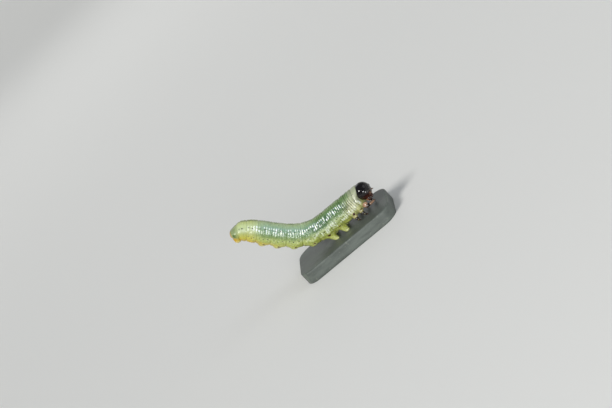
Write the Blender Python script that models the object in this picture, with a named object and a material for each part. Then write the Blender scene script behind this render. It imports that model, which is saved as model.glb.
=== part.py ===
"""Sawfly larva at life size, standing on a small flat display base.

Metres, +Z up, head towards +X. The origin is the middle of the underside of the base.
The larva grips with its six jointed legs and its first two pairs of prolegs, turns its
head a little to its right, and holds the rest of the abdomen up behind it.
"""

import math
from collections import namedtuple

import bmesh
import bpy
from mathutils import Matrix, Vector

MM = 0.001
GAP = 0.3 * MM
SIDE_GAP = 0.12 * MM

# Display base
BASE_LENGTH = 13.0 * MM
BASE_WIDTH = 7.0 * MM
BASE_THICK = 1.2 * MM
BASE_CORNER = 1.6 * MM
BASE_EDGE = 0.15 * MM
SOLE_LEVEL = BASE_THICK + GAP

# Body: one row for each segment. Length along the middle line and half height in mm;
# pitch is how far the body rises towards the tail, yaw how far it turns, in degrees.
Segment = namedtuple("Segment", "name length girth pitch yaw")
SEGMENTS = (
    Segment("t1", 0.80, 1.32, -12, -12),
    Segment("t2", 0.93, 1.42, -8, -8),
    Segment("t3", 0.90, 1.46, -2, -4),
    Segment("a1", 1.02, 1.48, 0, -1),
    Segment("a2", 1.40, 1.50, -1, 0),
    Segment("a3", 1.72, 1.49, 6, 0),
    Segment("a4", 1.85, 1.43, 24, 0),
    Segment("a5", 1.78, 1.41, 40, 0),
    Segment("a6", 1.76, 1.41, 49, 0),
    Segment("a7", 1.64, 1.40, 52, 0),
    Segment("a8", 1.20, 1.34, 48, 0),
    Segment("a9", 0.95, 1.19, 37, 0),
    Segment("a10", 0.98, 0.98, 18, 0),
)
ANCHOR = 5.5
ANCHOR_PLACE = Vector((-1.18 * MM, 0.0, SOLE_LEVEL + 1.86 * MM))
STEPS = 20

# Skin: folds between segments, rings within them, and the row of lobes on each side
RING_SIDES = 24
RINGS = 6
RING_MARGIN = 0.06
BELLY_FLATNESS = 0.94
FOLD_DEPTH = 0.05
FOLD_REACH = 0.10
ANNULETS = 3
ANNULET_DEPTH = 0.022
LOBE_ANGLE = math.radians(112)
LOBE_SPREAD = math.radians(16)
LOBE_HEIGHT = 0.10 * MM
COXAL_LOBE_HEIGHT = 0.20 * MM
COXAL_LOBE_ANGLE = math.radians(122)
LOBE_REACH = 0.30
COLLAR_START = 0.40
COLLAR_ROUNDING = 0.05
COLLAR_REACH = 0.35
CUP_SHARES = (0.3, 0.6, 0.85)
TAIL_ROUNDING_START = 12.15
TAIL_BLUNTNESS = 2.3
TAIL_SHARES = (0.0, 0.35, 0.6, 0.78, 0.9, 0.97)

# Where the skin is parted into nodes, as segment boundaries counted from the head
LENGTHS = (
    ("thorax", COLLAR_START, 3),
    ("abdomen_front", 3, 7),
    ("abdomen_rear", 7, 12),
    ("tail", 12, 13),
)

# Head capsule, in its own axes: forward (out of the face), left, crown
HEAD_WIDTH = 1.04 * MM
HEAD_HEIGHT = 1.06 * MM
HEAD_DEPTH = 1.00 * MM
HEAD_AHEAD = 0.34 * MM
HEAD_RAISED = 0.05 * MM
HEAD_PITCH = math.radians(-5)
HEAD_YAW = math.radians(-16)
FACE_NARROWING = 0.17
FACE_FLATTENING = 0.08
HEAD_MERIDIANS = 28
HEAD_PARALLELS = 16
PLATE_EDGE = 0.055 * MM
MOUTHPART_SIDES = 10

# Mouth, in the head's axes and in mm: plates as middle, size, tilt in degrees and narrowing,
# the rest as points and radii. The left one of a pair is given.
CLYPEUS = ((0.60, 0.0, -0.70), (0.34, 0.86, 0.30), 34, 0.86)
LABRUM = ((0.57, 0.0, -0.98), (0.26, 0.58, 0.30), 18, 0.80)
LABIUM = ((-0.02, 0.0, -0.70), (0.02, 0.0, -1.02), (0.10, 0.0, -1.24))
LABIUM_RADII = (0.26, 0.22, 0.12)
JAW = ((0.22, 0.50, -0.70), (0.34, 0.46, -0.98), (0.42, 0.24, -1.18))
JAW_RADII = (0.20, 0.19, 0.08)
PALP = ((0.02, 0.40, -0.78), (0.05, 0.44, -1.05), (0.14, 0.42, -1.26))
PALP_RADII = (0.17, 0.14, 0.06)

# Shares of the rise and of the radius of an eye, and of the length and radius of an antenna
EYE_DIRECTION = (0.60, 0.78, 0.02)
EYE_RADIUS = 0.19 * MM
EYE_RISE = 0.11 * MM
EYE_SUNK = 0.04 * MM
EYE_PROFILE = ((0.45, 0.90), (0.80, 0.62), (1.0, 0.25))
ANTENNA_DIRECTION = (0.80, 0.42, -0.40)
ANTENNA_RADIUS = 0.21 * MM
ANTENNA_LENGTH = 0.36 * MM
ANTENNA_PROFILE = ((0.0, 1.0), (0.34, 0.86), (0.50, 0.62), (0.78, 0.48), (1.0, 0.22))
SOCKET_DEPTH = 0.28 * MM

# Jointed legs: where each grows from, and how far ahead of that, out of the middle line
# and over the base its sole stands, in mm. The front right leg reaches forward, clear of it.
LEG_ANGLE = math.radians(140)
LEG_ROOTS = {1: 0.60, 2: 1.56, 3: 2.56}
LegPose = namedtuple("LegPose", "ahead out lift")
LEG_POSES = {
    (1, "left"): LegPose(0.62, 1.00, 0.0),
    (1, "right"): LegPose(1.32, 0.62, 0.80),
    (2, "left"): LegPose(0.34, 1.06, 0.0),
    (2, "right"): LegPose(0.34, 1.06, 0.0),
    (3, "left"): LegPose(0.26, 1.10, 0.0),
    (3, "right"): LegPose(0.26, 1.10, 0.0),
}
COXA_LENGTH = 0.28 * MM
COXA_RADIUS = 0.29 * MM
COXA_PROFILE = ((0.0, 1.0), (0.6, 1.04), (1.1, 0.66))
FEMUR_RADIUS = 0.265 * MM
TIBIA_RADIUS = 0.25 * MM
SPINDLE_PROFILE = ((0.0, 0.55), (0.22, 0.92), (0.55, 1.0), (0.85, 0.86), (1.0, 0.50))
CLAW_RADIUS = 0.15 * MM
CLAW_TIP = 0.09 * MM
CLAW_LENGTH = 0.24 * MM
KNEE_SHARE = 0.42
KNEE_OUT = 0.16 * MM
JOINT_OVERLAP = 0.09 * MM
LEG_SIDES = 10

# Prolegs. The profile has shares of the way to the tip and of the radius at the root.
PROLEG_ANGLE = math.radians(150)
PROLEG_SEGMENTS = {2: 4.40, 3: 5.40, 4: 6.45, 5: 7.5, 6: 8.5, 7: 9.5, 10: 12.36}
PROLEG_ROOT = 0.37 * MM
PROLEG_PROFILE = ((0.0, 1.0), (0.45, 0.92), (0.82, 0.80), (1.0, 0.58))
PROLEG_SPREAD = 0.95 * MM
PROLEG_LEAN = 0.26 * MM
GRIPPING_PROLEGS = (2, 3)
RAISED_LENGTH = 0.20 * MM
RAISED_LEAN = 0.15
ANAL_LENGTH = 0.30 * MM
ANAL_ROOT = 0.33 * MM
ANAL_LEAN = -0.35
LIMB_SIDES = 12

SIDES = (("left", 1), ("right", -1))

COLOURS = {
    "base": ((0.11, 0.125, 0.11), 0.45),
    "skin": ((0.62, 0.72, 0.52), 0.40),
    "tail": ((0.80, 0.66, 0.22), 0.40),
    "proleg": ((0.76, 0.80, 0.60), 0.45),
    "head": ((0.012, 0.009, 0.010), 0.12),
    "leg": ((0.10, 0.06, 0.05), 0.30),
    "eye": ((0.004, 0.004, 0.005), 0.05),
    "antenna": ((0.20, 0.13, 0.10), 0.35),
}


def clear_scene():
    for old in list(bpy.data.objects):
        bpy.data.objects.remove(old)


def finish_of(name):
    """The material of one kind of surface, made once."""
    material = bpy.data.materials.get(name)
    if material is None:
        colour, roughness = COLOURS[name]
        material = bpy.data.materials.new(name)
        material.use_nodes = True
        shader = material.node_tree.nodes["Principled BSDF"]
        shader.inputs["Base Color"].default_value = (*colour, 1.0)
        shader.inputs["Roughness"].default_value = roughness
        shader.inputs["Metallic"].default_value = 0.0
    return material


def new_object(name, bm, finish):
    """A node or a loose piece from a bmesh, smooth but for its real edges."""
    bmesh.ops.recalc_face_normals(bm, faces=bm.faces)
    mesh = bpy.data.meshes.new(name)
    bm.to_mesh(mesh)
    bm.free()
    mesh.shade_smooth()
    mesh.set_sharp_from_angle(angle=math.radians(40))
    mesh.materials.append(finish_of(finish))
    piece = bpy.data.objects.new(name, mesh)
    bpy.context.scene.collection.objects.link(piece)
    return piece


def keep_largest(piece):
    """Drops every closed surface of a node but the largest."""
    bm = bmesh.new()
    bm.from_mesh(piece.data)
    left = set(bm.faces)
    shells = []
    while left:
        shell = [left.pop()]
        for face in shell:
            for edge in face.edges:
                for other in edge.link_faces:
                    if other in left:
                        left.remove(other)
                        shell.append(other)
        shells.append(shell)
    shells.sort(key=lambda shell: sum(face.calc_area() for face in shell))
    for shell in shells[:-1]:
        bmesh.ops.delete(bm, geom=shell, context="FACES")
    bm.to_mesh(piece.data)
    bm.free()


def combine(piece, others, operation):
    """One Boolean of a piece with a collection of closed pieces, which are then removed."""
    helpers = bpy.data.collections.new("helpers")
    bpy.context.scene.collection.children.link(helpers)
    for other in others:
        helpers.objects.link(other)
    boolean = piece.modifiers.new(operation.lower(), "BOOLEAN")
    boolean.operation = operation
    boolean.operand_type = "COLLECTION"
    boolean.collection = helpers
    boolean.solver = "EXACT"
    bpy.context.view_layer.update()
    graph = bpy.context.evaluated_depsgraph_get()
    result = bpy.data.meshes.new_from_object(piece.evaluated_get(graph))
    piece.modifiers.clear()
    piece.data = result
    for other in others:
        bpy.data.objects.remove(other)
    bpy.data.collections.remove(helpers)
    keep_largest(piece)
    piece.data.shade_smooth()
    piece.data.set_sharp_from_angle(angle=math.radians(40))


def loft(name, rings, finish):
    """A closed surface over rings of equally many points, with a flat face at each end."""
    bm = bmesh.new()
    rows = [[bm.verts.new(point) for point in ring] for ring in rings]
    sides = len(rings[0])
    for row, following in zip(rows, rows[1:]):
        for i in range(sides):
            j = (i + 1) % sides
            bm.faces.new((row[i], row[j], following[j], following[i]))
    bm.faces.new(rows[0])
    bm.faces.new(rows[-1])
    return new_object(name, bm, finish)


def ring_about(centre, normal, radius, sides, start):
    """Points of a circle, counted from the direction nearest to start."""
    normal = normal.normalized()
    across = (start - normal * start.dot(normal)).normalized()
    other = normal.cross(across)
    turn = 2 * math.pi / sides
    return [
        centre + across * (radius * math.cos(i * turn)) + other * (radius * math.sin(i * turn))
        for i in range(sides)
    ]


def tube(name, stations, finish, start, sides=LIMB_SIDES):
    """A limb through stations of centre, radius and the way its ring faces."""
    rings = [ring_about(centre, facing, radius, sides, start) for centre, radius, facing in stations]
    return loft(name, rings, finish)


def between(values, u):
    """A smooth value at u, where each segment's own value holds in its middle."""
    place = min(max(u - 0.5, 0.0), len(values) - 1.0)
    i = min(int(place), len(values) - 2)
    t = place - i
    before = values[max(i - 1, 0)]
    first = values[i]
    second = values[i + 1]
    after = values[min(i + 2, len(values) - 1)]
    slope_in = (second - before) / 2
    slope_out = (after - first) / 2
    rise = second - first
    square = 3 * rise - 2 * slope_in - slope_out
    cube = slope_in + slope_out - 2 * rise
    return first + t * (slope_in + t * (square + t * cube))


def forward_at(u):
    pitch = math.radians(between([s.pitch for s in SEGMENTS], u))
    yaw = math.radians(between([s.yaw for s in SEGMENTS], u))
    flat = Vector((math.cos(yaw), math.sin(yaw), 0.0))
    return flat * math.cos(pitch) - Vector((0.0, 0.0, math.sin(pitch)))


def trace_spine():
    """Points of the middle line from the front of the thorax to the tail, STEPS to a segment."""
    line = [Vector((0.0, 0.0, 0.0))]
    for i, segment in enumerate(SEGMENTS):
        for k in range(STEPS):
            ahead = forward_at(i + (k + 0.5) / STEPS)
            line.append(line[-1] - ahead * (segment.length * MM / STEPS))
    shift = ANCHOR_PLACE - line[round(ANCHOR * STEPS)]
    return [point + shift for point in line]


SPINE = trace_spine()


def frame_at(u):
    """Point of the middle line, then the ways forward, left and up there."""
    place = min(max(u * STEPS, 0.0), len(SPINE) - 1.0)
    i = min(int(place), len(SPINE) - 2)
    point = SPINE[i].lerp(SPINE[i + 1], place - i)
    ahead = forward_at(u)
    left = Vector((0.0, 0.0, 1.0)).cross(ahead).normalized()
    return point, ahead, left, ahead.cross(left)


def hump(distance, reach):
    return math.exp(-((distance / reach) ** 2))


def girth_at(u):
    """Half height of the body, with its folds, its collar and its rounded tail."""
    girth = between([s.girth for s in SEGMENTS], u) * MM
    from_fold = abs(u - round(u)) if 0.5 < u < 12.5 else 0.5
    girth *= 1 - FOLD_DEPTH * hump(from_fold, FOLD_REACH)
    girth *= 1 - ANNULET_DEPTH * (0.5 + 0.5 * math.cos(2 * math.pi * ANNULETS * u))
    into_collar = max(0.0, 1 - (u - COLLAR_START) / COLLAR_REACH)
    girth *= 1 - COLLAR_ROUNDING * into_collar ** 2
    into_tail = max(0.0, (u - TAIL_ROUNDING_START) / (len(SEGMENTS) - TAIL_ROUNDING_START))
    return girth * math.sqrt(max(0.0, 1 - into_tail ** TAIL_BLUNTNESS))


def lobe_at(u, angle):
    """How far the fleshy lobes on each side stand out of the body."""
    segment = min(int(u), len(SEGMENTS) - 1)
    thoracic = segment in (1, 2)
    height = COXAL_LOBE_HEIGHT if thoracic else LOBE_HEIGHT
    place = COXAL_LOBE_ANGLE if thoracic else LOBE_ANGLE
    if segment in (0, 12):
        height = 0.0
    return height * hump(u - segment - 0.5, LOBE_REACH) * hump(abs(angle) - place, LOBE_SPREAD)


def skin_point(u, angle):
    """A point of the skin; the angle runs from the back, 0, to the belly, pi, left positive."""
    point, _, left, up = frame_at(u)
    reach = girth_at(u) + lobe_at(u, angle)
    rise = math.cos(angle)
    if rise < 0:
        rise *= BELLY_FLATNESS
    return point + left * (reach * math.sin(angle)) + up * (reach * rise)


def skin_normal(u, angle):
    """The way out of the skin, from its smooth round, without folds."""
    _, _, left, up = frame_at(u)
    return (left * math.sin(angle) + up * math.cos(angle)).normalized()


def body_ring(u):
    turn = 2 * math.pi / RING_SIDES
    angles = [(i + 0.5) * turn for i in range(RING_SIDES)]
    return [skin_point(u, a if a < math.pi else a - 2 * math.pi) for a in angles]


def head_centre():
    point, ahead, _, up = frame_at(0.0)
    return point + ahead * HEAD_AHEAD + up * HEAD_RAISED


def cup_rings(rim):
    """Rings inside the collar, on a sphere that keeps the gap to the head."""
    point, ahead, _, _ = frame_at(COLLAR_START)
    centre = head_centre()
    cup = HEAD_HEIGHT + GAP
    rings = []
    for share in CUP_SHARES:
        ring = []
        for edge in rim:
            out = point.lerp(edge, share) - centre
            along = out.dot(ahead)
            sunk = along + math.sqrt(along ** 2 - out.length_squared + cup ** 2)
            ring.append(centre + out - ahead * sunk)
        rings.append(ring)
    return rings


def make_length(name, start, end):
    """One length of the body, parted from the next by the gap."""
    first = start
    last = end
    if name != "thorax":
        first += GAP / 2 / (SEGMENTS[start].length * MM)
    if name != "tail":
        last -= GAP / 2 / (SEGMENTS[end - 1].length * MM)
    grid = [k / RINGS for k in range(len(SEGMENTS) * RINGS)]
    inner = [u for u in grid if first + RING_MARGIN < u < last - RING_MARGIN]
    places = [first, *inner]
    if name == "tail":
        places = [u for u in places if u < TAIL_ROUNDING_START]
        span = len(SEGMENTS) - TAIL_ROUNDING_START
        places += [TAIL_ROUNDING_START + span * share for share in TAIL_SHARES]
    else:
        places.append(last)
    rings = [body_ring(u) for u in places]
    if name == "thorax":
        rings = cup_rings(rings[0]) + rings
    return loft(name, rings, "tail" if name == "tail" else "skin")


def pocket(root, normal, radius):
    """A cutter for the shallow seat of a limb, its floor one gap below the skin."""
    side = normal.orthogonal()
    floor = root - normal * GAP
    mouth = root + normal * (2 * GAP)
    stations = [(floor, radius + SIDE_GAP, normal), (mouth, radius + 2.5 * SIDE_GAP, normal)]
    return tube("cutter", stations, "skin", side)


def leg_segment(start, end, radius, guide):
    """A loose spindle from joint to joint, a little past both, for a leg to be fused from."""
    along = (end - start).normalized()
    first = start - along * JOINT_OVERLAP
    last = end + along * JOINT_OVERLAP
    stations = [(first.lerp(last, share), radius * part, along) for share, part in SPINDLE_PROFILE]
    return tube("segment", stations, "leg", guide, LEG_SIDES)


def make_leg(number, side_name, side):
    """Coxa, femur, tibia and claw of one jointed leg, down to a small flat sole."""
    u = LEG_ROOTS[number]
    pose = LEG_POSES[(number, side_name)]
    point, ahead, left, _ = frame_at(u)
    level = Vector((ahead.x, ahead.y, 0.0)).normalized()
    root = skin_point(u, side * LEG_ANGLE)
    normal = skin_normal(u, side * LEG_ANGLE)
    out = left * side
    sole = Vector((point.x, point.y, SOLE_LEVEL + pose.lift * MM))
    sole += level * (pose.ahead * MM) + out * (pose.out * MM)
    hip = root + normal * COXA_LENGTH
    knee = hip.lerp(sole, KNEE_SHARE) + out * KNEE_OUT
    claw_way = (sole - knee).normalized()
    down = Vector((0.0, 0.0, -1.0)) if pose.lift == 0 else claw_way
    ankle = sole - claw_way * CLAW_LENGTH
    coxa = [(root.lerp(hip, share), COXA_RADIUS * part, normal) for share, part in COXA_PROFILE]
    claw = [
        (ankle - claw_way * JOINT_OVERLAP, CLAW_RADIUS, claw_way),
        (ankle.lerp(sole, 0.5), CLAW_RADIUS * 0.9, claw_way),
        (sole, CLAW_TIP, down),
    ]
    leg = tube(f"leg_{number}_{side_name}", coxa, "leg", ahead, LEG_SIDES)
    pieces = [
        leg_segment(hip, knee, FEMUR_RADIUS, ahead),
        leg_segment(knee, ankle, TIBIA_RADIUS, ahead),
        tube("claw", claw, "leg", ahead, LEG_SIDES),
    ]
    combine(leg, pieces, "UNION")
    return leg, pocket(root, normal, COXA_RADIUS)


def make_proleg(number, side_name, side):
    """One fleshy proleg. A gripping one ends in a flat sole, a raised one is a short cone."""
    u = PROLEG_SEGMENTS[number]
    point, ahead, left, _ = frame_at(u)
    root = skin_point(u, side * PROLEG_ANGLE)
    normal = skin_normal(u, side * PROLEG_ANGLE)
    out = left * side
    thick = PROLEG_ROOT
    if number in GRIPPING_PROLEGS:
        tip = Vector((point.x, point.y, SOLE_LEVEL)) + out * PROLEG_SPREAD + ahead * PROLEG_LEAN
        tip.z = SOLE_LEVEL
        facing = Vector((0.0, 0.0, -1.0))
    elif number == 10:
        thick = ANAL_ROOT
        facing = (normal + ahead * ANAL_LEAN).normalized()
        tip = root + facing * ANAL_LENGTH
    else:
        facing = (normal + ahead * RAISED_LEAN).normalized()
        tip = root + facing * RAISED_LENGTH
    stations = []
    for share, part in PROLEG_PROFILE:
        turned = normal.lerp(facing, min(1.0, share / PROLEG_PROFILE[2][0]))
        stations.append((root.lerp(tip, share), thick * part, turned))
    seat = pocket(root, normal, thick)
    return tube(f"proleg_{number}_{side_name}", stations, "proleg", ahead), seat


def head_axes():
    """The head's own axes as columns: forward out of the face, left, crown."""
    flat = Vector((math.cos(HEAD_YAW), math.sin(HEAD_YAW), 0.0))
    face = flat * math.cos(HEAD_PITCH) + Vector((0.0, 0.0, math.sin(HEAD_PITCH)))
    left = Vector((0.0, 0.0, 1.0)).cross(face).normalized()
    turn = Matrix((face, left, face.cross(left))).transposed().to_4x4()
    return Matrix.Translation(head_centre()) @ turn


def capsule_point(direction):
    """A point of the head capsule for a direction in the head's own axes."""
    face, side, crown = Vector(direction).normalized()
    narrowing = 1 - FACE_NARROWING * max(0.0, -crown) ** 2
    flattening = 1 - FACE_FLATTENING * max(0.0, face) ** 3
    return Vector((HEAD_DEPTH * face * flattening, HEAD_WIDTH * side * narrowing, HEAD_HEIGHT * crown))


def head_piece(name, points, radii, side):
    """A loose mouthpart: a tapering tube through points in the head's own axes, in mm."""
    axes = head_axes()
    places = [axes @ (Vector((ahead, left * side, crown)) * MM) for ahead, left, crown in points]
    across = axes.to_3x3() @ Vector((0.0, 1.0, 0.0))
    stations = []
    for i, place in enumerate(places):
        along = places[min(i + 1, len(places) - 1)] - places[max(i - 1, 0)]
        stations.append((place, radii[i] * MM, along))
    return tube(name, stations, "head", across, MOUTHPART_SIDES)


def head_plate(name, middle, size, tilt, taper):
    """A loose rounded plate of the face: its middle and size in mm, narrower below by taper."""
    bm = bmesh.new()
    bmesh.ops.create_cube(bm, size=1.0)
    for vert in bm.verts:
        if vert.co.z < 0:
            vert.co.y *= taper
    bmesh.ops.scale(bm, vec=Vector(size) * MM, verts=bm.verts)
    bmesh.ops.bevel(bm, geom=bm.edges[:], offset=PLATE_EDGE, segments=2, profile=0.5, affect="EDGES")
    place = Matrix.Translation(Vector(middle) * MM) @ Matrix.Rotation(math.radians(tilt), 4, "Y")
    bmesh.ops.transform(bm, matrix=head_axes() @ place, verts=bm.verts)
    return new_object(name, bm, "head")


def make_head():
    """Capsule with the plates above the mouth, the jaws, and the lower lip with its feelers."""
    axes = head_axes()
    bm = bmesh.new()
    bmesh.ops.create_uvsphere(bm, u_segments=HEAD_MERIDIANS, v_segments=HEAD_PARALLELS, radius=1.0)
    for vert in bm.verts:
        vert.co = axes @ capsule_point(vert.co)
    head = new_object("head", bm, "head")
    pieces = [
        head_plate("clypeus", *CLYPEUS),
        head_plate("labrum", *LABRUM),
        head_piece("labium", LABIUM, LABIUM_RADII, 1),
    ]
    for _, side in SIDES:
        pieces.append(head_piece("jaw", JAW, JAW_RADII, side))
        pieces.append(head_piece("palp", PALP, PALP_RADII, side))
    combine(head, pieces, "UNION")
    return head


def head_seat(direction, side):
    """Root and normal, in the world, of what grows from the capsule on one side."""
    aim = Vector((direction[0], direction[1] * side, direction[2]))
    point = capsule_point(aim)
    slope = Vector(
        (point.x / HEAD_DEPTH ** 2, point.y / HEAD_WIDTH ** 2, point.z / HEAD_HEIGHT ** 2)
    ).normalized()
    axes = head_axes()
    return axes @ point, (axes.to_3x3() @ slope).normalized()


def make_eye(side_name, side):
    """A low dome over its socket."""
    root, normal = head_seat(EYE_DIRECTION, side)
    stations = [(root - normal * EYE_SUNK, EYE_RADIUS, normal)]
    for share, part in EYE_PROFILE:
        stations.append((root + normal * (EYE_RISE * share), EYE_RADIUS * part, normal))
    start = normal.orthogonal()
    floor = (root - normal * (EYE_SUNK + GAP), EYE_RADIUS + SIDE_GAP, normal)
    mouth = (root + normal * GAP, EYE_RADIUS + SIDE_GAP, normal)
    return tube(f"eye_{side_name}", stations, "eye", start), tube("cutter", [floor, mouth], "head", start)


def make_antenna(side_name, side):
    """A short stepped cone over its socket."""
    root, normal = head_seat(ANTENNA_DIRECTION, side)
    stations = []
    for share, part in ANTENNA_PROFILE:
        stations.append((root + normal * (ANTENNA_LENGTH * share), ANTENNA_RADIUS * part, normal))
    start = normal.orthogonal()
    floor = (root - normal * SOCKET_DEPTH, ANTENNA_RADIUS + SIDE_GAP, normal)
    mouth = (root + normal * GAP, ANTENNA_RADIUS + SIDE_GAP, normal)
    antenna = tube(f"antenna_{side_name}", stations, "antenna", start, LEG_SIDES)
    return antenna, tube("cutter", [floor, mouth], "head", start)


def make_base():
    """A flat plate with round corners and a soft upper edge."""
    bm = bmesh.new()
    bmesh.ops.create_cube(bm, size=1.0)
    bmesh.ops.scale(bm, vec=(BASE_LENGTH, BASE_WIDTH, BASE_THICK), verts=bm.verts)
    bmesh.ops.translate(bm, vec=(0.0, 0.0, BASE_THICK / 2), verts=bm.verts)
    upright = [e for e in bm.edges if abs(e.verts[0].co.z - e.verts[1].co.z) > BASE_THICK / 2]
    bmesh.ops.bevel(bm, geom=upright, offset=BASE_CORNER, segments=8, profile=0.5, affect="EDGES")
    top = [e for e in bm.edges if min(v.co.z for v in e.verts) > BASE_THICK * 0.9]
    bmesh.ops.bevel(bm, geom=top, offset=BASE_EDGE, segments=2, profile=0.5, affect="EDGES")
    return new_object("stand_base", bm, "base")


def limb_owner(u):
    """The name of the length of body that carries a limb at u."""
    return next(name for name, start, end in LENGTHS if start <= u < end)


def main():
    clear_scene()
    make_base()
    lengths = {name: make_length(name, start, end) for name, start, end in LENGTHS}
    seats = {name: [] for name in lengths}
    sockets = []
    head = make_head()
    for side_name, side in SIDES:
        for number in LEG_ROOTS:
            _, seat = make_leg(number, side_name, side)
            seats["thorax"].append(seat)
        for number, u in PROLEG_SEGMENTS.items():
            _, seat = make_proleg(number, side_name, side)
            seats[limb_owner(u)].append(seat)
        sockets.append(make_eye(side_name, side)[1])
        sockets.append(make_antenna(side_name, side)[1])
    for name, cutters in seats.items():
        combine(lengths[name], cutters, "DIFFERENCE")
    combine(head, sockets, "DIFFERENCE")


main()
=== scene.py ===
"""Looks of a sawfly larva at life size, gripping a small flat display base of slate.

Metres, +Z up, head towards +X, in the frame of the solids. The skin is one surface laid out by
two measures: u, counted in segments from the front of the thorax to the tail, and an angle round
the body, 0 on the back, pi on the belly, positive on the larva's left.
"""

import functools
import math
import random
from collections import namedtuple

import bmesh
import bpy
from mathutils import Matrix, Vector, noise


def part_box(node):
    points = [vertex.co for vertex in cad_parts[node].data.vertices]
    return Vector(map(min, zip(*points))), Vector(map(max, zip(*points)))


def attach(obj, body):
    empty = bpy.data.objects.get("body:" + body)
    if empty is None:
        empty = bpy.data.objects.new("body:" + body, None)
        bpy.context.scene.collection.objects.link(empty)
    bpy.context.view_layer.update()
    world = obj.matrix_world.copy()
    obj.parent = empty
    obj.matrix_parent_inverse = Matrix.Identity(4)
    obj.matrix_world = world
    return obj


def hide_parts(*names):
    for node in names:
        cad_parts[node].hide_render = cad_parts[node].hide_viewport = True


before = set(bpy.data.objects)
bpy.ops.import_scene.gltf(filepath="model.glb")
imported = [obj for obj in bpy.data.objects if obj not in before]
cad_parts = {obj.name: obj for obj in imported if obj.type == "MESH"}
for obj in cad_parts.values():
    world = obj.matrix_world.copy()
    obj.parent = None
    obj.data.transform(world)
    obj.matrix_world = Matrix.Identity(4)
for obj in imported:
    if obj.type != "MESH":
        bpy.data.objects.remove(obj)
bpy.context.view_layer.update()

bl_info = {
    "name": "Sawfly larva",
    "version": (1, 0, 0),
    "blender": (4, 5, 0),
    "location": "3D View > Sidebar > Larva",
    "description": "Skin, spots, head, legs and hairs of a sawfly larva on a slate base",
    "category": "Add Mesh",
}

MM = 0.001

# Base: the soles stand a gap above the solid base, and the slab of slate reaches up to them
BASE_LOW, BASE_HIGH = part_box("stand_base")
SOLE_GAP = 0.3 * MM
SOLE_LEVEL = BASE_HIGH[2] + SOLE_GAP
BASE_CORNER = 1.6 * MM
SLAB_EDGE = 0.16 * MM
SLAB_CUTS = (64, 36, 6)
SLAB_RELIEF = 0.03 * MM

# Body: one row for each segment. Length along the middle line and half height in mm;
# pitch is how far the body rises towards the tail, yaw how far it turns, in degrees.
Segment = namedtuple("Segment", "name length girth pitch yaw rings")
SEGMENTS = (
    Segment("t1", 0.80, 1.32, -12, -12, 2),
    Segment("t2", 0.93, 1.42, -8, -8, 3),
    Segment("t3", 0.90, 1.46, -2, -4, 3),
    Segment("a1", 1.02, 1.48, 0, -1, 4),
    Segment("a2", 1.40, 1.50, -1, 0, 5),
    Segment("a3", 1.72, 1.49, 6, 0, 6),
    Segment("a4", 1.85, 1.43, 24, 0, 6),
    Segment("a5", 1.78, 1.41, 40, 0, 6),
    Segment("a6", 1.76, 1.41, 49, 0, 6),
    Segment("a7", 1.64, 1.40, 52, 0, 6),
    Segment("a8", 1.20, 1.34, 48, 0, 4),
    Segment("a9", 0.95, 1.19, 37, 0, 3),
    Segment("a10", 0.98, 0.98, 18, 0, 1),
)
LAST = len(SEGMENTS) - 1
ANCHOR = 5.5
ANCHOR_PLACE = Vector((-1.18 * MM, 0.0, SOLE_LEVEL + 1.86 * MM))
STEPS = 20
BELLY_FLATNESS = 0.94

# Collar: the skin from inside the head, over its rim and back, as u and radius in mm.
# On the back it reaches forward over the head like a hood.
COLLAR = (
    (0.48, 0.0), (0.45, 0.38), (0.43, 0.64), (0.44, 0.80), (0.48, 0.95),
    (0.54, 1.08), (0.63, 1.18), (0.76, 1.27), (0.92, 1.34),
)
COLLAR_END = 0.92
COLLAR_ROWS = 40
HOOD = 0.75 * MM
TAIL_START = 12.15
TAIL_FLATNESS = 0.60
TAIL_SLOPE_START = 11.5
TAIL_SLOPE_RUN = 1.1
TAIL_ROWS = 30
SKIN_ROWS = 560
SKIN_COLUMNS = 144
BELLY_CROWDING = 0.35

# Fleshy lobes: place in the segment, angle in degrees, spread along and around, height in mm
Lobe = namedtuple("Lobe", "share angle along around height")
COLLAR_LOBES = (Lobe(0.76, 118, 0.16, 16, 0.12),)
THORAX_LOBES = (
    Lobe(0.42, 122, 0.24, 13, 0.22),
    Lobe(0.60, 97, 0.20, 8, 0.08),
)
ABDOMEN_LOBES = (
    Lobe(0.38, 113, 0.22, 8, 0.12),
    Lobe(0.78, 109, 0.12, 7, 0.07),
    Lobe(0.46, 133, 0.30, 9, 0.12),
)
TAIL_LOBES = (Lobe(0.35, 120, 0.30, 12, 0.05),)

# Prolegs
PROLEG_ANGLE = math.radians(150)
PROLEG_SEGMENTS = {2: 4.40, 3: 5.40, 4: 6.45, 5: 7.5, 6: 8.5, 7: 9.5, 10: 12.36}
GRIPPING_PROLEGS = (2, 3)
PROLEG_SPREAD = 0.95 * MM
PROLEG_LEAN = 0.26 * MM
PROLEG_THICKNESS = 0.36 * MM
RAISED_LENGTH = 0.21 * MM
RAISED_LEAN = 0.15
ANAL_LENGTH = 0.30 * MM
ANAL_LEAN = -0.35
ANAL_THICKNESS = 0.31 * MM
FOOTPRINT = 2.05
BELLY_LINE = 0.25 * MM

# Shares of a proleg from the middle of its tip outwards: its radius and how far it has risen
GRIP_RADII = (0.0, 0.42, 0.72, 0.88, 0.98, 1.07, 1.17, 1.30, 1.48, 1.74, 2.05)
GRIP_RISES = (1.0, 1.0, 0.985, 0.87, 0.68, 0.48, 0.29, 0.13, 0.04, 0.0, 0.0)
CONE_RADII = (0.0, 0.30, 0.54, 0.74, 0.90, 1.04, 1.18, 1.34, 1.54, 1.79, 2.05)
CONE_RISES = (1.0, 0.985, 0.93, 0.83, 0.69, 0.53, 0.36, 0.19, 0.07, 0.01, 0.0)

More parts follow.
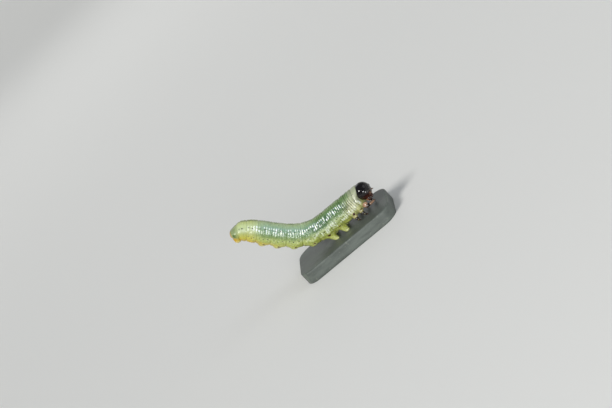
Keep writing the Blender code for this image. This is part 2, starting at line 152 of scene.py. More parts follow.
# Jointed legs. A pose says how far the tip stands ahead of the middle line's point over the leg,
# out from it and above the slab, in mm. The first two right legs reach up to 0.2 mm further ahead
# than the solids'.
LEG_ANGLE = math.radians(140)
LEG_ROOTS = {1: 0.60, 2: 1.56, 3: 2.56}
LegPose = namedtuple("LegPose", "ahead out lift")
LEG_POSES = {
    (1, "left"): LegPose(0.62, 1.00, 0.0),
    (1, "right"): LegPose(1.50, 0.62, 0.86),
    (2, "left"): LegPose(0.34, 1.06, 0.0),
    (2, "right"): LegPose(0.52, 1.06, 0.0),
    (3, "left"): LegPose(0.26, 1.10, 0.0),
    (3, "right"): LegPose(0.26, 1.10, 0.0),
}
COXA_LENGTH = 0.28 * MM
CLAW_LENGTH = 0.24 * MM
CLAW_RADII = (0.085, 0.070, 0.045, 0.012)
CLAW_BEND = 0.05 * MM
KNEE_SHARE = 0.42
KNEE_OUT = 0.16 * MM

# Head capsule, in its own axes: forward (out of the face), left, crown
HEAD_WIDTH = 1.04 * MM
HEAD_HEIGHT = 1.06 * MM
HEAD_DEPTH = 1.00 * MM
HEAD_AHEAD = 0.34 * MM
HEAD_RAISED = 0.05 * MM
HEAD_PITCH = math.radians(-5)
HEAD_YAW = math.radians(-16)
FACE_NARROWING = 0.17
FACE_FLATTENING = 0.08
EYE_DIRECTION = (0.60, 0.78, 0.02)
ANTENNA_DIRECTION = (0.80, 0.42, -0.40)
EYE_RADIUS = 0.195 * MM
EYE_RISE = 0.105 * MM
EYE_ROWS = 12
CROWN_SUTURE = ((-0.72, 0.0, 0.70), (0.80, 0.0, 0.58))
FACE_SUTURE = ((0.80, 0.0, 0.58), (0.84, 0.50, -0.22))

# Joints of a feeler, as radius and length in mm, and how far each reaches into the next
FEELER_JOINTS = ((0.12, 0.07), (0.085, 0.06), (0.060, 0.06), (0.036, 0.07))
FEELER_OVERLAP = 0.03

# Mouthparts of one side or the middle, in the head's own axes, in mm
FacePlate = namedtuple("FacePlate", "middle size tilt taper notch")
FACE_PLATES = (
    FacePlate((0.60, 0.0, -0.70), (0.34, 0.86, 0.30), 34, 0.86, 0.0),
    FacePlate((0.57, 0.0, -0.98), (0.24, 0.58, 0.30), 18, 0.80, 0.30),
)
MouthPart = namedtuple("MouthPart", "points radii flat")
JAW = MouthPart(
    ((0.22, 0.50, -0.70), (0.33, 0.48, -0.92), (0.41, 0.34, -1.09), (0.43, 0.14, -1.18)),
    (0.20, 0.20, 0.15, 0.05), 0.8,
)
LIP = MouthPart(((-0.02, 0.0, -0.70), (0.02, 0.0, -1.00), (0.10, 0.0, -1.20)), (0.26, 0.23, 0.12), 0.8)
SIDE_LOBE = MouthPart(
    ((0.02, 0.40, -0.78), (0.05, 0.43, -1.02), (0.12, 0.38, -1.16)), (0.17, 0.14, 0.07), 1.0
)
Palp = namedtuple("Palp", "root tip radius joints")
PALPS = (
    Palp((0.06, 0.48, -1.00), (0.20, 0.52, -1.25), 0.070, 3),
    Palp((0.10, 0.13, -1.14), (0.18, 0.17, -1.29), 0.048, 2),
)

# Spots: place in the segment, angle in degrees, half length and half width in mm
Spot = namedtuple("Spot", "share angle along around")
ABDOMEN_SPOTS = (
    Spot(0.30, 24, 0.036, 0.034), Spot(0.62, 22, 0.034, 0.032),
    Spot(0.50, 54, 0.062, 0.056), Spot(0.79, 53, 0.058, 0.052),
    Spot(0.25, 84, 0.056, 0.050), Spot(0.55, 90, 0.062, 0.056), Spot(0.82, 86, 0.056, 0.050),
    Spot(0.42, 119, 0.165, 0.100),
)
THORAX_SPOTS = (
    Spot(0.28, 40, 0.040, 0.038), Spot(0.62, 52, 0.066, 0.056), Spot(0.60, 76, 0.042, 0.042),
)
COLLAR_SPOTS = (Spot(0.86, 46, 0.034, 0.034), Spot(0.86, 70, 0.034, 0.034), Spot(0.82, 104, 0.050, 0.045))
LEG_SPOTS = {1: Spot(0.36, 130, 0.165, 0.150), 2: Spot(0.36, 115, 0.170, 0.155)}

# A spot's dome as height in mm and share of its radius. The heights are multiplied by SPOT_RISE
# and SPOT_SWELL times the spot's half length, added together.
LENS = (
    (-0.012, 0.0), (-0.012, 0.90), (0.0, 1.0), (0.010, 0.92), (0.018, 0.70), (0.022, 0.40), (0.023, 0.0),
)
SPOT_RISE = 0.6
SPOT_SWELL = 6
SPOT_SEED = 11

# Hairs: radius at the root and the tip, how deep they are sunk, each one's patch of the chart,
# the body's columns of them in degrees and the share of its places that stay bare
HAIR_ROOT = 0.0075 * MM
HAIR_TIP = 0.0012 * MM
HAIR_SUNK = 0.02 * MM
HAIR_PATCH = 0.003
HAIR_SEED = 5
HAIR_COLUMNS = (10, 26, 44, 62, 80, 98, 114, 130, 158)
HAIR_GAPS = 0.45
HEAD_HAIRS = 90
HEAD_HAIR_LENGTH = 0.15 * MM
LEG_HAIRS = 10
LEG_HAIR_LENGTH = 0.12 * MM
LEG_HAIR_OUT = 0.10 * MM

SIDES = (("left", 1), ("right", -1))

# Lights: the way to each from the larva, its size (an angle for the sun), power and colour
Light = namedtuple("Light", "name kind way size power colour")
LIGHTS = (
    Light("key", "SUN", (-0.49, -0.59, 0.63), math.radians(18), 1.80, (1.0, 0.98, 0.95)),
    Light("low_flash", "AREA", (0.22, -0.97, 0.12), 0.09, 0.52, (1.0, 1.0, 1.0)),
    Light("fill", "AREA", (0.80, -0.10, 0.55), 0.20, 0.08, (0.94, 0.98, 1.0)),
    Light("rim", "AREA", (-0.20, 0.85, 0.50), 0.16, 0.06, (1.0, 1.0, 1.0)),
)
LAMP_DISTANCE = 0.30
LAMP_TARGET = Vector((0.0, 0.0, 4.0 * MM))
SKY_COLOUR = (0.88, 0.94, 1.0, 1.0)
SKY_STRENGTH = 0.24

# Photograph's view: direction to the camera, tilt of the picture, and the larva's size in it
PHOTO_WIDTH = 612
PHOTO_HEIGHT = 408
LARVA_LENGTH = 18.0 * MM
LARVA_PIXELS = 158.7
CAMERA_AZIMUTH = math.radians(12)
CAMERA_ELEVATION = math.radians(17)
CAMERA_ROLL = math.radians(43.556)
CAMERA_DISTANCE = 0.1928
CAMERA_LENS = 100.0
FLOOR_FLAT = 0.62
FLOOR_RUN = 0.22
FLOOR_RISE = 0.22
FLOOR_RINGS = 18
SENSOR = 36.0
FOOT_PLACE = Vector((-1.10 * MM, -0.85 * MM, SOLE_LEVEL))
FOOT_PIXEL = (335.6, 240.0)


def tone(red, green, blue):
    """A colour as it is seen, 0 to 255, turned into the linear light that shaders read."""
    shares = (value / 255 for value in (red, green, blue))
    return tuple(s / 12.92 if s <= 0.04045 else ((s + 0.055) / 1.055) ** 2.4 for s in shares)


def smooth_step(value):
    """0 up to 0, 1 from 1 on, smooth between."""
    value = min(max(value, 0.0), 1.0)
    return value * value * (3 - 2 * value)


def hump(distance, reach):
    """1 at no distance, fading away on both sides over a reach."""
    return math.exp(-((distance / reach) ** 2))


def smooth_read(values, place):
    """A smooth curve through evenly spaced values, read at a place counted in them."""
    place = min(max(place, 0.0), len(values) - 1.0)
    i = min(int(place), len(values) - 2)
    t = place - i
    before = values[max(i - 1, 0)]
    first = values[i]
    second = values[i + 1]
    after = values[min(i + 2, len(values) - 1)]
    slope_in = (second - before) / 2
    slope_out = (after - first) / 2
    rise = second - first
    square = 3 * rise - 2 * slope_in - slope_out
    cube = slope_in + slope_out - 2 * rise
    return first + t * (slope_in + t * (square + t * cube))


GIRTHS = [segment.girth for segment in SEGMENTS]
PITCHES = [segment.pitch for segment in SEGMENTS]
YAWS = [segment.yaw for segment in SEGMENTS]


def forward_at(u):
    pitch = math.radians(smooth_read(PITCHES, u - 0.5))
    yaw = math.radians(smooth_read(YAWS, u - 0.5))
    flat = Vector((math.cos(yaw), math.sin(yaw), 0.0))
    return flat * math.cos(pitch) - Vector((0.0, 0.0, math.sin(pitch)))


def trace_spine():
    """Points of the middle line from the front of the thorax to the tail, STEPS to a segment."""
    line = [Vector((0.0, 0.0, 0.0))]
    for i, segment in enumerate(SEGMENTS):
        for k in range(STEPS):
            ahead = forward_at(i + (k + 0.5) / STEPS)
            line.append(line[-1] - ahead * (segment.length * MM / STEPS))
    shift = ANCHOR_PLACE - line[round(ANCHOR * STEPS)]
    return [point + shift for point in line]


SPINE = trace_spine()


@functools.lru_cache(maxsize=None)
def frame_at(u):
    """Point of the middle line, then the ways forward, left and up there."""
    place = min(max(u * STEPS, 0.0), len(SPINE) - 1.0)
    i = min(int(place), len(SPINE) - 2)
    point = SPINE[i].lerp(SPINE[i + 1], place - i)
    ahead = forward_at(u)
    left = Vector((0.0, 0.0, 1.0)).cross(ahead).normalized()
    return point, ahead, left, ahead.cross(left)


@functools.lru_cache(maxsize=None)
def girth_at(u):
    """Half height of the body in metres, with its collar and its rounded tail."""
    if u < COLLAR_END:
        girth = COLLAR[-1][1]
    else:
        girth = smooth_read(GIRTHS, u - 0.5)
        girth += (COLLAR[-1][1] - girth) * (1 - smooth_step((u - COLLAR_END) / 0.30))
    into_tail = max(0.0, (u - TAIL_START) / (len(SEGMENTS) - TAIL_START))
    return girth * MM * math.sqrt(max(0.0, 1 - into_tail ** 2.3))


def lobes_of(i):
    if i == 0:
        return COLLAR_LOBES
    if i < 3:
        return THORAX_LOBES
    return ABDOMEN_LOBES if i < 11 else TAIL_LOBES


LOBES = [lobes_of(i) for i in range(len(SEGMENTS))]


def ring_phase(u):
    """Place within one ring of the skin, 0 and 1 in its creases."""
    i = min(int(u), LAST)
    return (u - i) * SEGMENTS[i].rings % 1.0


def relief(u, angle, look):
    """How far the folds, rings and lobes stand out of the smooth round of the body, in metres."""
    side = math.degrees(abs(angle))
    i = min(int(u), LAST)
    share = u - i
    across = math.sin(angle)
    upward = math.cos(angle)
    back = 1 - smooth_step((side - 92) / 26)
    wander = noise.noise(Vector((u * 5.0, across * 2.5, upward * 2.5)))
    crease = abs(2 * ring_phase(u) - 1) ** 5
    height = -look.ring_depth * crease * (0.30 + 0.70 * back) * (0.9 + 0.7 * wander)
    if u < 3.4:
        height -= look.ring_depth * crease * (1 - smooth_step((u - 2.6) / 0.8)) * 0.9
    if 0.7 < u < 12.5:
        from_fold = abs(u - round(u))
        depth = look.fold_depth * (1 - 0.6 * back) if u > 3.5 else look.fold_depth
        height -= depth * (0.75 * hump(from_fold, 0.05) + 0.35 * hump(from_fold, 0.18))
    for lobe in LOBES[i]:
        spread = hump(share - lobe.share, lobe.along) * hump(side - lobe.angle, lobe.around)
        height += lobe.height * MM * spread
    height += 0.016 * MM * noise.noise(Vector((u * 2.6, across * 3.0 + 7, upward * 3.0)))
    height += 0.006 * MM * noise.noise(Vector((u * 12.0, across * 14.0, upward * 14.0 + 3)))
    return height


def skin_base(u, angle, look, reach=None):
    """A point of the body without its prolegs."""
    point, ahead, left, up = frame_at(u)
    if reach is None:
        reach = girth_at(u)
    reach += relief(u, angle, look) * smooth_step(reach / (0.9 * MM))
    upward = math.cos(angle)
    if upward < 0:
        upward *= BELLY_FLATNESS
    else:
        upward *= 1 - (1 - TAIL_FLATNESS) * smooth_step((u - TAIL_SLOPE_START) / TAIL_SLOPE_RUN)
    place = point + left * (reach * math.sin(angle)) + up * (reach * upward)
    if u > 11.95:
        place += ahead * tail_cleft(reach * math.sin(angle) / MM, reach * upward / MM, u)
    if u < 1.4:
        behind = smooth_step((u - 0.4) / 0.9)
        place += ahead * (HOOD * smooth_step((upward - 0.15) / 0.85) * (1 - behind))
    return place


def tail_cleft(across, upward, u):
    """The slit under the last plate of the back and the lip above it, as a shift forward."""
    width = 1 - smooth_step((abs(across) - 0.42) / 0.25)
    depth = 0.13 * hump(upward + 0.34, 0.065) - 0.05 * hump(upward + 0.16, 0.11)
    return depth * width * smooth_step((u - 12.35) / 0.25) * MM


Limb = namedtuple(
    "Limb", "side u angle girth length thick root tip ahead around normal facing radii rises"
)


def limb_seat(u, angle):
    """A point of the smooth belly, without rings and folds, and the way out of it there."""
    point, _, left, up = frame_at(u)
    girth = girth_at(u)
    drop = math.cos(angle) * BELLY_FLATNESS
    root = point + left * (girth * math.sin(angle)) + up * (girth * drop)
    return root, (left * math.sin(angle) + up * math.cos(angle)).normalized()


def proleg_limb(number, side):
    """Where one proleg grows and how far it goes, close to how the solids have it."""
    u = PROLEG_SEGMENTS[number]
    angle = side * PROLEG_ANGLE
    point, ahead, left, up = frame_at(u)
    root, normal = limb_seat(u, angle)
    around = (left * math.cos(angle) - up * math.sin(angle)).normalized()
    radii = CONE_RADII
    rises = CONE_RISES
    thick = PROLEG_THICKNESS
    if number in GRIPPING_PROLEGS:
        tip = point + left * (side * PROLEG_SPREAD) + ahead * PROLEG_LEAN
        tip.z = SOLE_LEVEL
        facing = Vector((0.0, 0.0, -1.0))
        radii = GRIP_RADII
        rises = GRIP_RISES
    elif number == 10:
        thick = ANAL_THICKNESS
        facing = (normal + ahead * ANAL_LEAN).normalized()
        tip = root + facing * ANAL_LENGTH
    else:
        facing = (normal + ahead * RAISED_LEAN).normalized()
        tip = root + facing * RAISED_LENGTH
    length = SEGMENTS[min(int(u), LAST)].length * MM
    return Limb(
        side, u, angle, girth_at(u), length, thick, root, tip, ahead, around, normal, facing, radii, rises
    )


LIMBS = [proleg_limb(number, side) for number in PROLEG_SEGMENTS for _, side in SIDES]


def limb_place(limb, forward, across, far, look):
    """A point of a proleg from its place in the footprint, which closes in as it rises."""
    rise = smooth_read(limb.rises, far * 10)
    radius = smooth_read(limb.radii, far * 10) * limb.thick
    radius *= 1 - 0.07 * hump(rise - 0.52, 0.06) - 0.05 * hump(rise - 0.27, 0.05)
    shrink = radius / (far * FOOTPRINT * limb.thick) if far > 0 else 0.0
    forward *= shrink
    across *= shrink
    ground = skin_base(limb.u - forward / limb.length, limb.angle + across / limb.girth, look)
    closing = smooth_step(rise / 0.35)
    facing = limb.normal.lerp(limb.facing, closing).normalized()
    ahead = (limb.ahead - facing * limb.ahead.dot(facing)).normalized()
    around = (limb.around - facing * limb.around.dot(facing)).normalized()
    ring = limb.root.lerp(limb.tip, rise) + ahead * forward + around * across
    lifted = ground + (limb.tip - limb.root) * rise
    return lifted.lerp(ring, closing), rise


def skin_place(u, angle, look, reach=None):
    """A point of the skin, and how far out it lies on a proleg, 0 to 1."""
    for limb in LIMBS:
        footprint = limb.thick * FOOTPRINT
        forward = (limb.u - u) * limb.length
        if abs(forward) < footprint and angle * limb.side > 1.5:
            across = (angle - limb.angle) * limb.girth
            far = math.hypot(forward, across) / footprint
            if far < 1:
                place, rise = limb_place(limb, forward, across, far, look)
                beside = smooth_step((math.pi - abs(angle)) * limb.girth / BELLY_LINE)
                return skin_base(u, angle, look, reach).lerp(place, beside), rise * beside
    return skin_base(u, angle, look, reach), 0.0


def skin_seat(u, angle, look):
    """A point of the skin and the way out of it there."""
    step = 0.02
    place, _ = skin_place(u, angle, look)
    along = skin_place(u + step, angle, look)[0] - skin_place(u - step, angle, look)[0]
    round_it = skin_place(u, angle + step, look)[0] - skin_place(u, angle - step, look)[0]
    normal = along.cross(round_it).normalized()
    if normal.dot(place - frame_at(u)[0]) < 0:
        normal.negate()
    return place, normal


class Finish:
    """The node tree of one material, added to a node at a time."""

    def __init__(self, name, **sockets):
        self.material = bpy.data.materials.new(name)
        self.material.use_nodes = True
        self.tree = self.material.node_tree
        self.shader = self.tree.nodes["Principled BSDF"]
        for socket, value in sockets.items():
            self.feed(self.shader.inputs[socket.replace("_", " ")], value)

    def feed(self, socket, value):
        if isinstance(value, bpy.types.NodeSocket):
            self.tree.links.new(value, socket)
        elif hasattr(socket.default_value, "__len__") and len(value) + 1 == len(socket.default_value):
            socket.default_value = (*value, 1.0)
        else:
            socket.default_value = value

    def node(self, kind, inputs, **settings):
        made = self.tree.nodes.new("ShaderNode" + kind)
        for setting, value in settings.items():
            setattr(made, setting, value)
        for socket, value in inputs.items():
            self.feed(made.inputs[socket], value)
        return made

    def reckon(self, operation, first, second=0.0):
        return self.node("Math", {0: first, 1: second}, operation=operation).outputs[0]

    def product(self, *values):
        return functools.reduce(lambda first, second: self.reckon("MULTIPLY", first, second), values)

    def attribute(self, name):
        return self.node("Attribute", {}, attribute_name=name).outputs["Fac"]

    def mix(self, share, first, second):
        return self.node("Mix", {0: share, 6: first, 7: second}, data_type="RGBA").outputs[2]

    def ramp(self, value, stops):
        made = self.node("ValToRGB", {"Fac": value})
        points = made.color_ramp.elements
        while len(points) < len(stops):
            points.new(1.0)
        for point, (place, colour) in zip(points, stops):
            point.position = place
            point.color = (*colour, 1.0)
        return made.outputs["Color"]

    def step(self, value, low, high):
        """0 below low, 1 above high, smooth between, or the other way round where low is above high."""
        made = self.node(
            "MapRange", {"Value": value, "From Min": low, "From Max": high}, interpolation_type="SMOOTHSTEP"
        )
        return made.outputs["Result"]

    def band(self, value, low, high, soft):
        """1 between low and high, 0 outside them, with soft edges."""
        rising = self.step(value, low - soft, low + soft)
        falling = self.step(value, high + soft, high - soft)
        return self.product(rising, falling)

    def speckle(self, size, detail=2.0, roughness=0.5, stretch=(1.0, 1.0, 1.0)):
        """Noise on the object's own coordinates, with patches of about a size in metres."""
        place = self.node("TexCoord", {}).outputs["Object"]
        place = self.node("Mapping", {"Vector": place, "Scale": stretch}).outputs["Vector"]
        inputs = {"Vector": place, "Scale": 1 / size, "Detail": detail, "Roughness": roughness}
        return self.node("TexNoise", inputs).outputs["Fac"]

    def cells(self, size):
        place = self.node("TexCoord", {}).outputs["Object"]
        return self.node("TexVoronoi", {"Vector": place, "Scale": 1 / size}).outputs["Distance"]

    def bump(self, height, depth, strength=1.0):
        made = self.node("Bump", {"Height": height, "Distance": depth, "Strength": strength})
        self.feed(self.shader.inputs["Normal"], made.outputs["Normal"])

    def colour(self, value):
        self.feed(self.shader.inputs["Base Color"], value)


def chest_tones():
    return [
        (0.0, tone(92, 120, 64)), (0.13, tone(108, 136, 86)), (0.24, tone(134, 152, 114)),
        (0.38, tone(104, 114, 80)), (0.50, tone(132, 136, 88)), (0.60, tone(162, 164, 112)),
        (0.72, tone(172, 174, 108)), (1.0, tone(150, 154, 98)),
    ]


# Ramp of the front abdomen; its back is painted darker than the middle's, as painted shade
def front_tones_painted_darker(look):
    return [
        (0.0, look.back_line), (0.035, tone(112, 138, 72)), (0.14, tone(104, 134, 86)),
        (0.25, tone(92, 126, 92)), (0.34, tone(76, 108, 62)), (0.41, tone(122, 142, 98)),
        (0.47, tone(164, 178, 130)), (0.53, tone(122, 136, 70)), (0.60, tone(132, 144, 56)),
        (0.72, look.lobe), (1.0, tone(140, 152, 70)),
    ]


# Ramp of the middle of the body; its back is painted paler than the front's, as painted light
def flank_tones_painted_paler(look):
    return [
        (0.0, tone(114, 140, 90)), (0.035, look.back), (0.12, tone(168, 192, 152)),
        (0.24, look.gut), (0.33, tone(130, 156, 126)), (0.40, tone(98, 128, 84)),
        (0.47, tone(112, 134, 76)), (0.54, tone(150, 164, 98)), (0.62, tone(154, 166, 84)),
        (0.72, look.lobe), (1.0, tone(146, 156, 76)),
    ]


def rear_tones():
    return [
        (0.0, tone(122, 136, 74)), (0.08, tone(196, 206, 140)), (0.22, tone(188, 202, 150)),
        (0.36, tone(178, 190, 150)), (0.48, tone(162, 168, 102)), (0.60, tone(174, 170, 72)),
        (0.74, tone(174, 164, 52)), (1.0, tone(160, 154, 60)),
    ]


def skin_finish(look):
    """Moist translucent skin: banded from back to belly, flecked with white on its rings. The white is
    partly fat under the skin and partly painted highlight on the ring crests. The creases between the rings
    carry painted shade, and the back of the front abdomen is painted darker and that of the middle paler, as
    painted shade and painted light.
    """
    f = Finish(
        "larva skin", Roughness=0.34, Subsurface_Weight=0.45, Subsurface_Scale=0.22 * MM,
        Subsurface_Radius=(1.0, 1.0, 0.6), Coat_Weight=0.34, Coat_Roughness=0.12, IOR=1.42,
    )
    along = f.attribute("along")
    around = f.attribute("around")
    ridge = f.attribute("ridge")
    limb = f.attribute("limb")
    blotch = f.speckle(0.9 * MM, 3.0)
    fine = f.speckle(0.16 * MM, 3.0, 0.6)
    shift = f.product(f.reckon("SUBTRACT", blotch, 0.5), 0.10)
    place = f.reckon("ADD", around, shift)
    # One ramp for each stretch of the body; the front abdomen's back carries painted shade and the middle's
    # back painted light
    colour = f.ramp(place, flank_tones_painted_paler(look))
    colour = f.mix(f.step(along, 7.0, 5.4), colour, f.ramp(place, front_tones_painted_darker(look)))
    colour = f.mix(f.step(along, 3.4, 2.5), colour, f.ramp(place, chest_tones()))
    colour = f.mix(f.step(along, 9.5, 10.6), colour, f.ramp(place, rear_tones()))
    colour = f.mix(f.product(f.step(along, 11.8, 12.3), 0.75), colour, tone(122, 140, 92))
    gut_end = f.product(f.band(along, 12.36, 12.66, 0.12), f.band(place, 0.42, 0.60, 0.06))
    colour = f.mix(f.product(gut_end, 0.8), colour, tone(60, 88, 34))
    under = f.product(f.step(along, 12.0, 12.6), f.step(around, 0.58, 0.68))
    rim = f.reckon("MAXIMUM", under, f.step(along, 12.72, 12.86))
    colour = f.mix(rim, colour, look.tail)
    flush = f.product(f.band(along, 8.6, 13.2, 1.2), f.band(around, 0.68, 0.92, 0.08))
    colour = f.mix(f.product(flush, 0.60), colour, look.tail)

    deep = f.product(f.step(blotch, 0.54, 0.40), f.band(place, 0.14, 0.42, 0.05), f.step(along, 7.5, 5.5))
    colour = f.mix(f.product(deep, f.step(along, 2.2, 3.0), 0.6), colour, tone(52, 88, 46))
    crest = f.step(ridge, 0.20, 0.75)
    patchy = f.step(f.speckle(0.34 * MM, 2.0), 0.45, 0.57)
    flow = f.reckon("SUBTRACT", place, f.product(f.step(along, 5.0, 7.5), 0.045))
    window = f.product(f.band(flow, 0.19, 0.33, 0.03), f.band(along, 2.6, 11.0, 0.7))
    # Painted shade: the creases between the ring crests in the fleck band are painted darker green
    painted_crease_shade = f.product(f.step(ridge, 0.90, 0.45), window)
    colour = f.mix(f.product(painted_crease_shade, f.step(along, 9.5, 5.0), 0.75), colour, tone(78, 110, 92))
    # White flecks on the ring crests: partly white fat under the skin, partly painted highlight where light
    # glints on the wet rings
    fleck = f.product(f.step(ridge, 0.64, 0.90), patchy, window)
    colour = f.mix(fleck, colour, look.fleck)
    cloud = f.step(f.speckle(0.42 * MM, 3.0, 0.6), 0.46, 0.60)
    milky = f.product(cloud, crest, f.band(place, 0.44, 0.60, 0.05), f.step(along, 8.5, 4.0))
    colour = f.mix(f.product(milky, 0.62), colour, look.fleck)
    net = f.product(f.step(fine, 0.50, 0.62), f.band(place, 0.48, 0.80, 0.06))
    colour = f.mix(f.product(net, f.step(along, 12.0, 8.0), 0.28), colour, tone(226, 232, 190))
    chalk = f.product(f.step(along, 3.2, 1.6), f.step(ridge, 0.40, 0.90), f.band(place, 0.26, 0.58, 0.08))
    colour = f.mix(f.product(chalk, f.step(blotch, 0.36, 0.56), 0.52), colour, tone(220, 220, 190))
    hood = f.product(f.step(along, 1.5, 0.9), f.step(around, 0.62, 0.40), 0.8)
    colour = f.mix(hood, colour, tone(172, 176, 150))
    # Painted shade: the creases between the rings are painted dark green-black
    painted_seam_shade = f.product(f.step(ridge, 0.30, 0.0), 0.30)
    colour = f.mix(painted_seam_shade, colour, (0.16, 0.24, 0.08))
    colour = f.mix(f.product(f.step(limb, 0.15, 1.0), 0.50), colour, look.proleg)
    f.colour(colour)
    grain = f.reckon("ADD", f.product(fine, 0.6), f.product(f.cells(0.05 * MM), 0.4))
    f.bump(grain, 0.012 * MM, 0.55)
    return f.material


def horn_finish(name, colour, dark, roughness, grain=0.35, coat=0.4):
    """Polished horn, mottled between two tones, darker where an attribute of the piece is 0."""
    f = Finish(name, Coat_Weight=coat, Coat_Roughness=0.05, IOR=1.42)
    mottle = f.step(f.speckle(0.22 * MM, 3.0, 0.6), 0.35, 0.65)
    share = f.product(f.attribute("glow"), f.reckon("ADD", f.product(mottle, 0.35), 0.65))
    f.colour(f.mix(share, dark, colour))
    f.feed(f.shader.inputs["Roughness"], f.reckon("ADD", f.product(mottle, 0.05), roughness))
    f.bump(f.cells(0.06 * MM), 0.003 * MM, grain)
    return f.material


def hair_finish():
    f = Finish("pale hair", Roughness=0.35, Transmission_Weight=0.15)
    f.colour(f.mix(f.speckle(0.5 * MM), tone(214, 206, 168), tone(176, 160, 118)))
    return f.material


def slate_finish(look):
    """Honed slate: fine cleft layers and grain, paler on its worn edges."""
    f = Finish("honed slate", IOR=1.5)
    layer = f.speckle(2.4 * MM, 5.0, 0.6, (1.0, 1.6, 5.0))
    grain = f.speckle(0.12 * MM, 4.0, 0.7)
    fleck = f.step(f.speckle(0.30 * MM, 2.0), 0.62, 0.74)
    colour = f.mix(f.step(layer, 0.3, 0.7), look.slate, tuple(c * 1.7 for c in look.slate))
    colour = f.mix(f.product(grain, 0.45), colour, tuple(c * 0.45 for c in look.slate))
    colour = f.mix(f.product(fleck, 0.35), colour, tone(128, 134, 122))
    worn = f.node("NewGeometry", {}).outputs["Pointiness"]
    colour = f.mix(f.product(f.step(worn, 0.54, 0.62), 0.5), colour, tone(120, 128, 116))
    f.colour(colour)
    f.feed(f.shader.inputs["Roughness"], f.reckon("ADD", f.product(layer, 0.25), 0.36))
    height = f.reckon("ADD", f.product(layer, 0.7), f.product(grain, 0.3))
    f.bump(height, 0.05 * MM, 0.5)
    return f.material


def object_of(name, bm, material):
    """Makes a finished bmesh a smooth object of the scene."""
    mesh = bpy.data.meshes.new(name)
    bm.to_mesh(mesh)
    bm.free()
    mesh.materials.append(material)
    mesh.shade_smooth()
    made = bpy.data.objects.new(name, mesh)
    bpy.context.scene.collection.objects.link(made)
    return made


def piece_of(name, bm, material, slot, *replaced):
    """Makes a finished bmesh a piece of the model, riding on its one body."""
    piece = object_of(name, bm, material)
    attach(piece, "root")
    if replaced:
        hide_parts(*replaced)


def turned(bm, profile, place, steps):
    """Spins a profile of height and radius round Z, closes its poles and puts it in place."""
    old = set(bm.verts)
    line = [bm.verts.new((radius, 0.0, height)) for height, radius in profile]
    edges = [bm.edges.new(pair) for pair in zip(line, line[1:])]
    bmesh.ops.spin(
        bm, geom=line + edges, cent=(0, 0, 0), axis=(0, 0, 1), angle=2 * math.pi, steps=steps, use_merge=True
    )
    fresh = [vert for vert in bm.verts if vert not in old]
    bmesh.ops.remove_doubles(bm, verts=fresh, dist=1e-7)
    fresh = [vert for vert in bm.verts if vert not in old]
    bmesh.ops.transform(bm, matrix=place, verts=fresh)
    faces = list({face for vert in fresh for face in vert.link_faces})
    bmesh.ops.recalc_face_normals(bm, faces=faces)
    return fresh


def aimed(start, way, guide=Vector((0.0, 0.0, 1.0))):
    """A place at start with its Z along a way and its X as near as it goes to a guide."""
    way = way.normalized()
    if abs(way.dot(guide.normalized())) > 0.98:
        guide = way.orthogonal()
    across = (guide - way * guide.dot(way)).normalized()
    turn = Matrix((across, way.cross(across), way)).transposed().to_4x4()
    return Matrix.Translation(start) @ turn


def spindle(length, radii):
    """Profile of a limb's joint with rounded ends, through evenly spaced radii."""
    count = 20
    rows = [(0.0, 0.0)]
    for k in range(1, count):
        t = k / count
        round_end = math.sqrt(1 - abs(2 * t - 1) ** 12)
        rows.append((length * t, smooth_read(radii, t * (len(radii) - 1)) * round_end))
    rows.append((length, 0.0))
    return rows


def horn_mesh():
    """A new bmesh whose vertices carry their glow: 0 in the dark tone of the horn, 1 in the pale."""
    bm = bmesh.new()
    bm.verts.layers.float.new("glow")
    return bm


def set_glow(bm, verts, share):
    """Gives vertices one glow, or each the glow that a function says for it."""
    glow = bm.verts.layers.float["glow"]
    for vert in verts:
        vert[glow] = share(vert) if callable(share) else share


def head_axes():
    """The head's own axes as columns: forward out of the face, left, crown."""
    point, ahead, _, up = frame_at(0.0)
    centre = point + ahead * HEAD_AHEAD + up * HEAD_RAISED
    flat = Vector((math.cos(HEAD_YAW), math.sin(HEAD_YAW), 0.0))
    face = flat * math.cos(HEAD_PITCH) + Vector((0.0, 0.0, math.sin(HEAD_PITCH)))
    left = Vector((0.0, 0.0, 1.0)).cross(face).normalized()
    turn = Matrix((face, left, face.cross(left))).transposed().to_4x4()
    return Matrix.Translation(centre) @ turn


HEAD = head_axes()


def capsule_point(direction):
    """A point of the smooth head capsule for a direction in the head's own axes."""
    face, side, crown = Vector(direction).normalized()
    narrowing = 1 - FACE_NARROWING * max(0.0, -crown) ** 2
    flattening = 1 - FACE_FLATTENING * max(0.0, face) ** 3
    return Vector((HEAD_DEPTH * face * flattening, HEAD_WIDTH * side * narrowing, HEAD_HEIGHT * crown))


def from_arc(direction, ends):
    """Angle from a direction to the great arc between two others."""
    first = Vector(ends[0]).normalized()
    last = Vector(ends[1]).normalized()
    pole = first.cross(last).normalized()
    flat = (direction - pole * direction.dot(pole)).normalized()
    if flat.dot(first) > first.dot(last) and flat.dot(last) > first.dot(last):
        return abs(math.asin(max(-1.0, min(1.0, direction.dot(pole)))))
    return min(direction.angle(first), direction.angle(last))


def capsule_relief(direction):
    """Sutures, the rims round the eyes and feelers, and the swell of the cheeks, in mm."""
    mirrored = Vector((direction.x, abs(direction.y), direction.z))
    height = -0.030 * hump(from_arc(direction, CROWN_SUTURE), 0.030)
    height -= 0.022 * hump(from_arc(mirrored, FACE_SUTURE), 0.026)
    from_eye = mirrored.angle(Vector(EYE_DIRECTION))
    height += 0.026 * hump(from_eye - 0.245, 0.045)
    from_feeler = mirrored.angle(Vector(ANTENNA_DIRECTION))
    height += 0.020 * hump(from_feeler - 0.24, 0.05) - 0.045 * hump(from_feeler, 0.15)
    height += 0.020 * hump(mirrored.angle(Vector((-0.1, 0.75, 0.65))), 0.5)
    height += 0.005 * noise.noise(direction * 6.0)
    return height


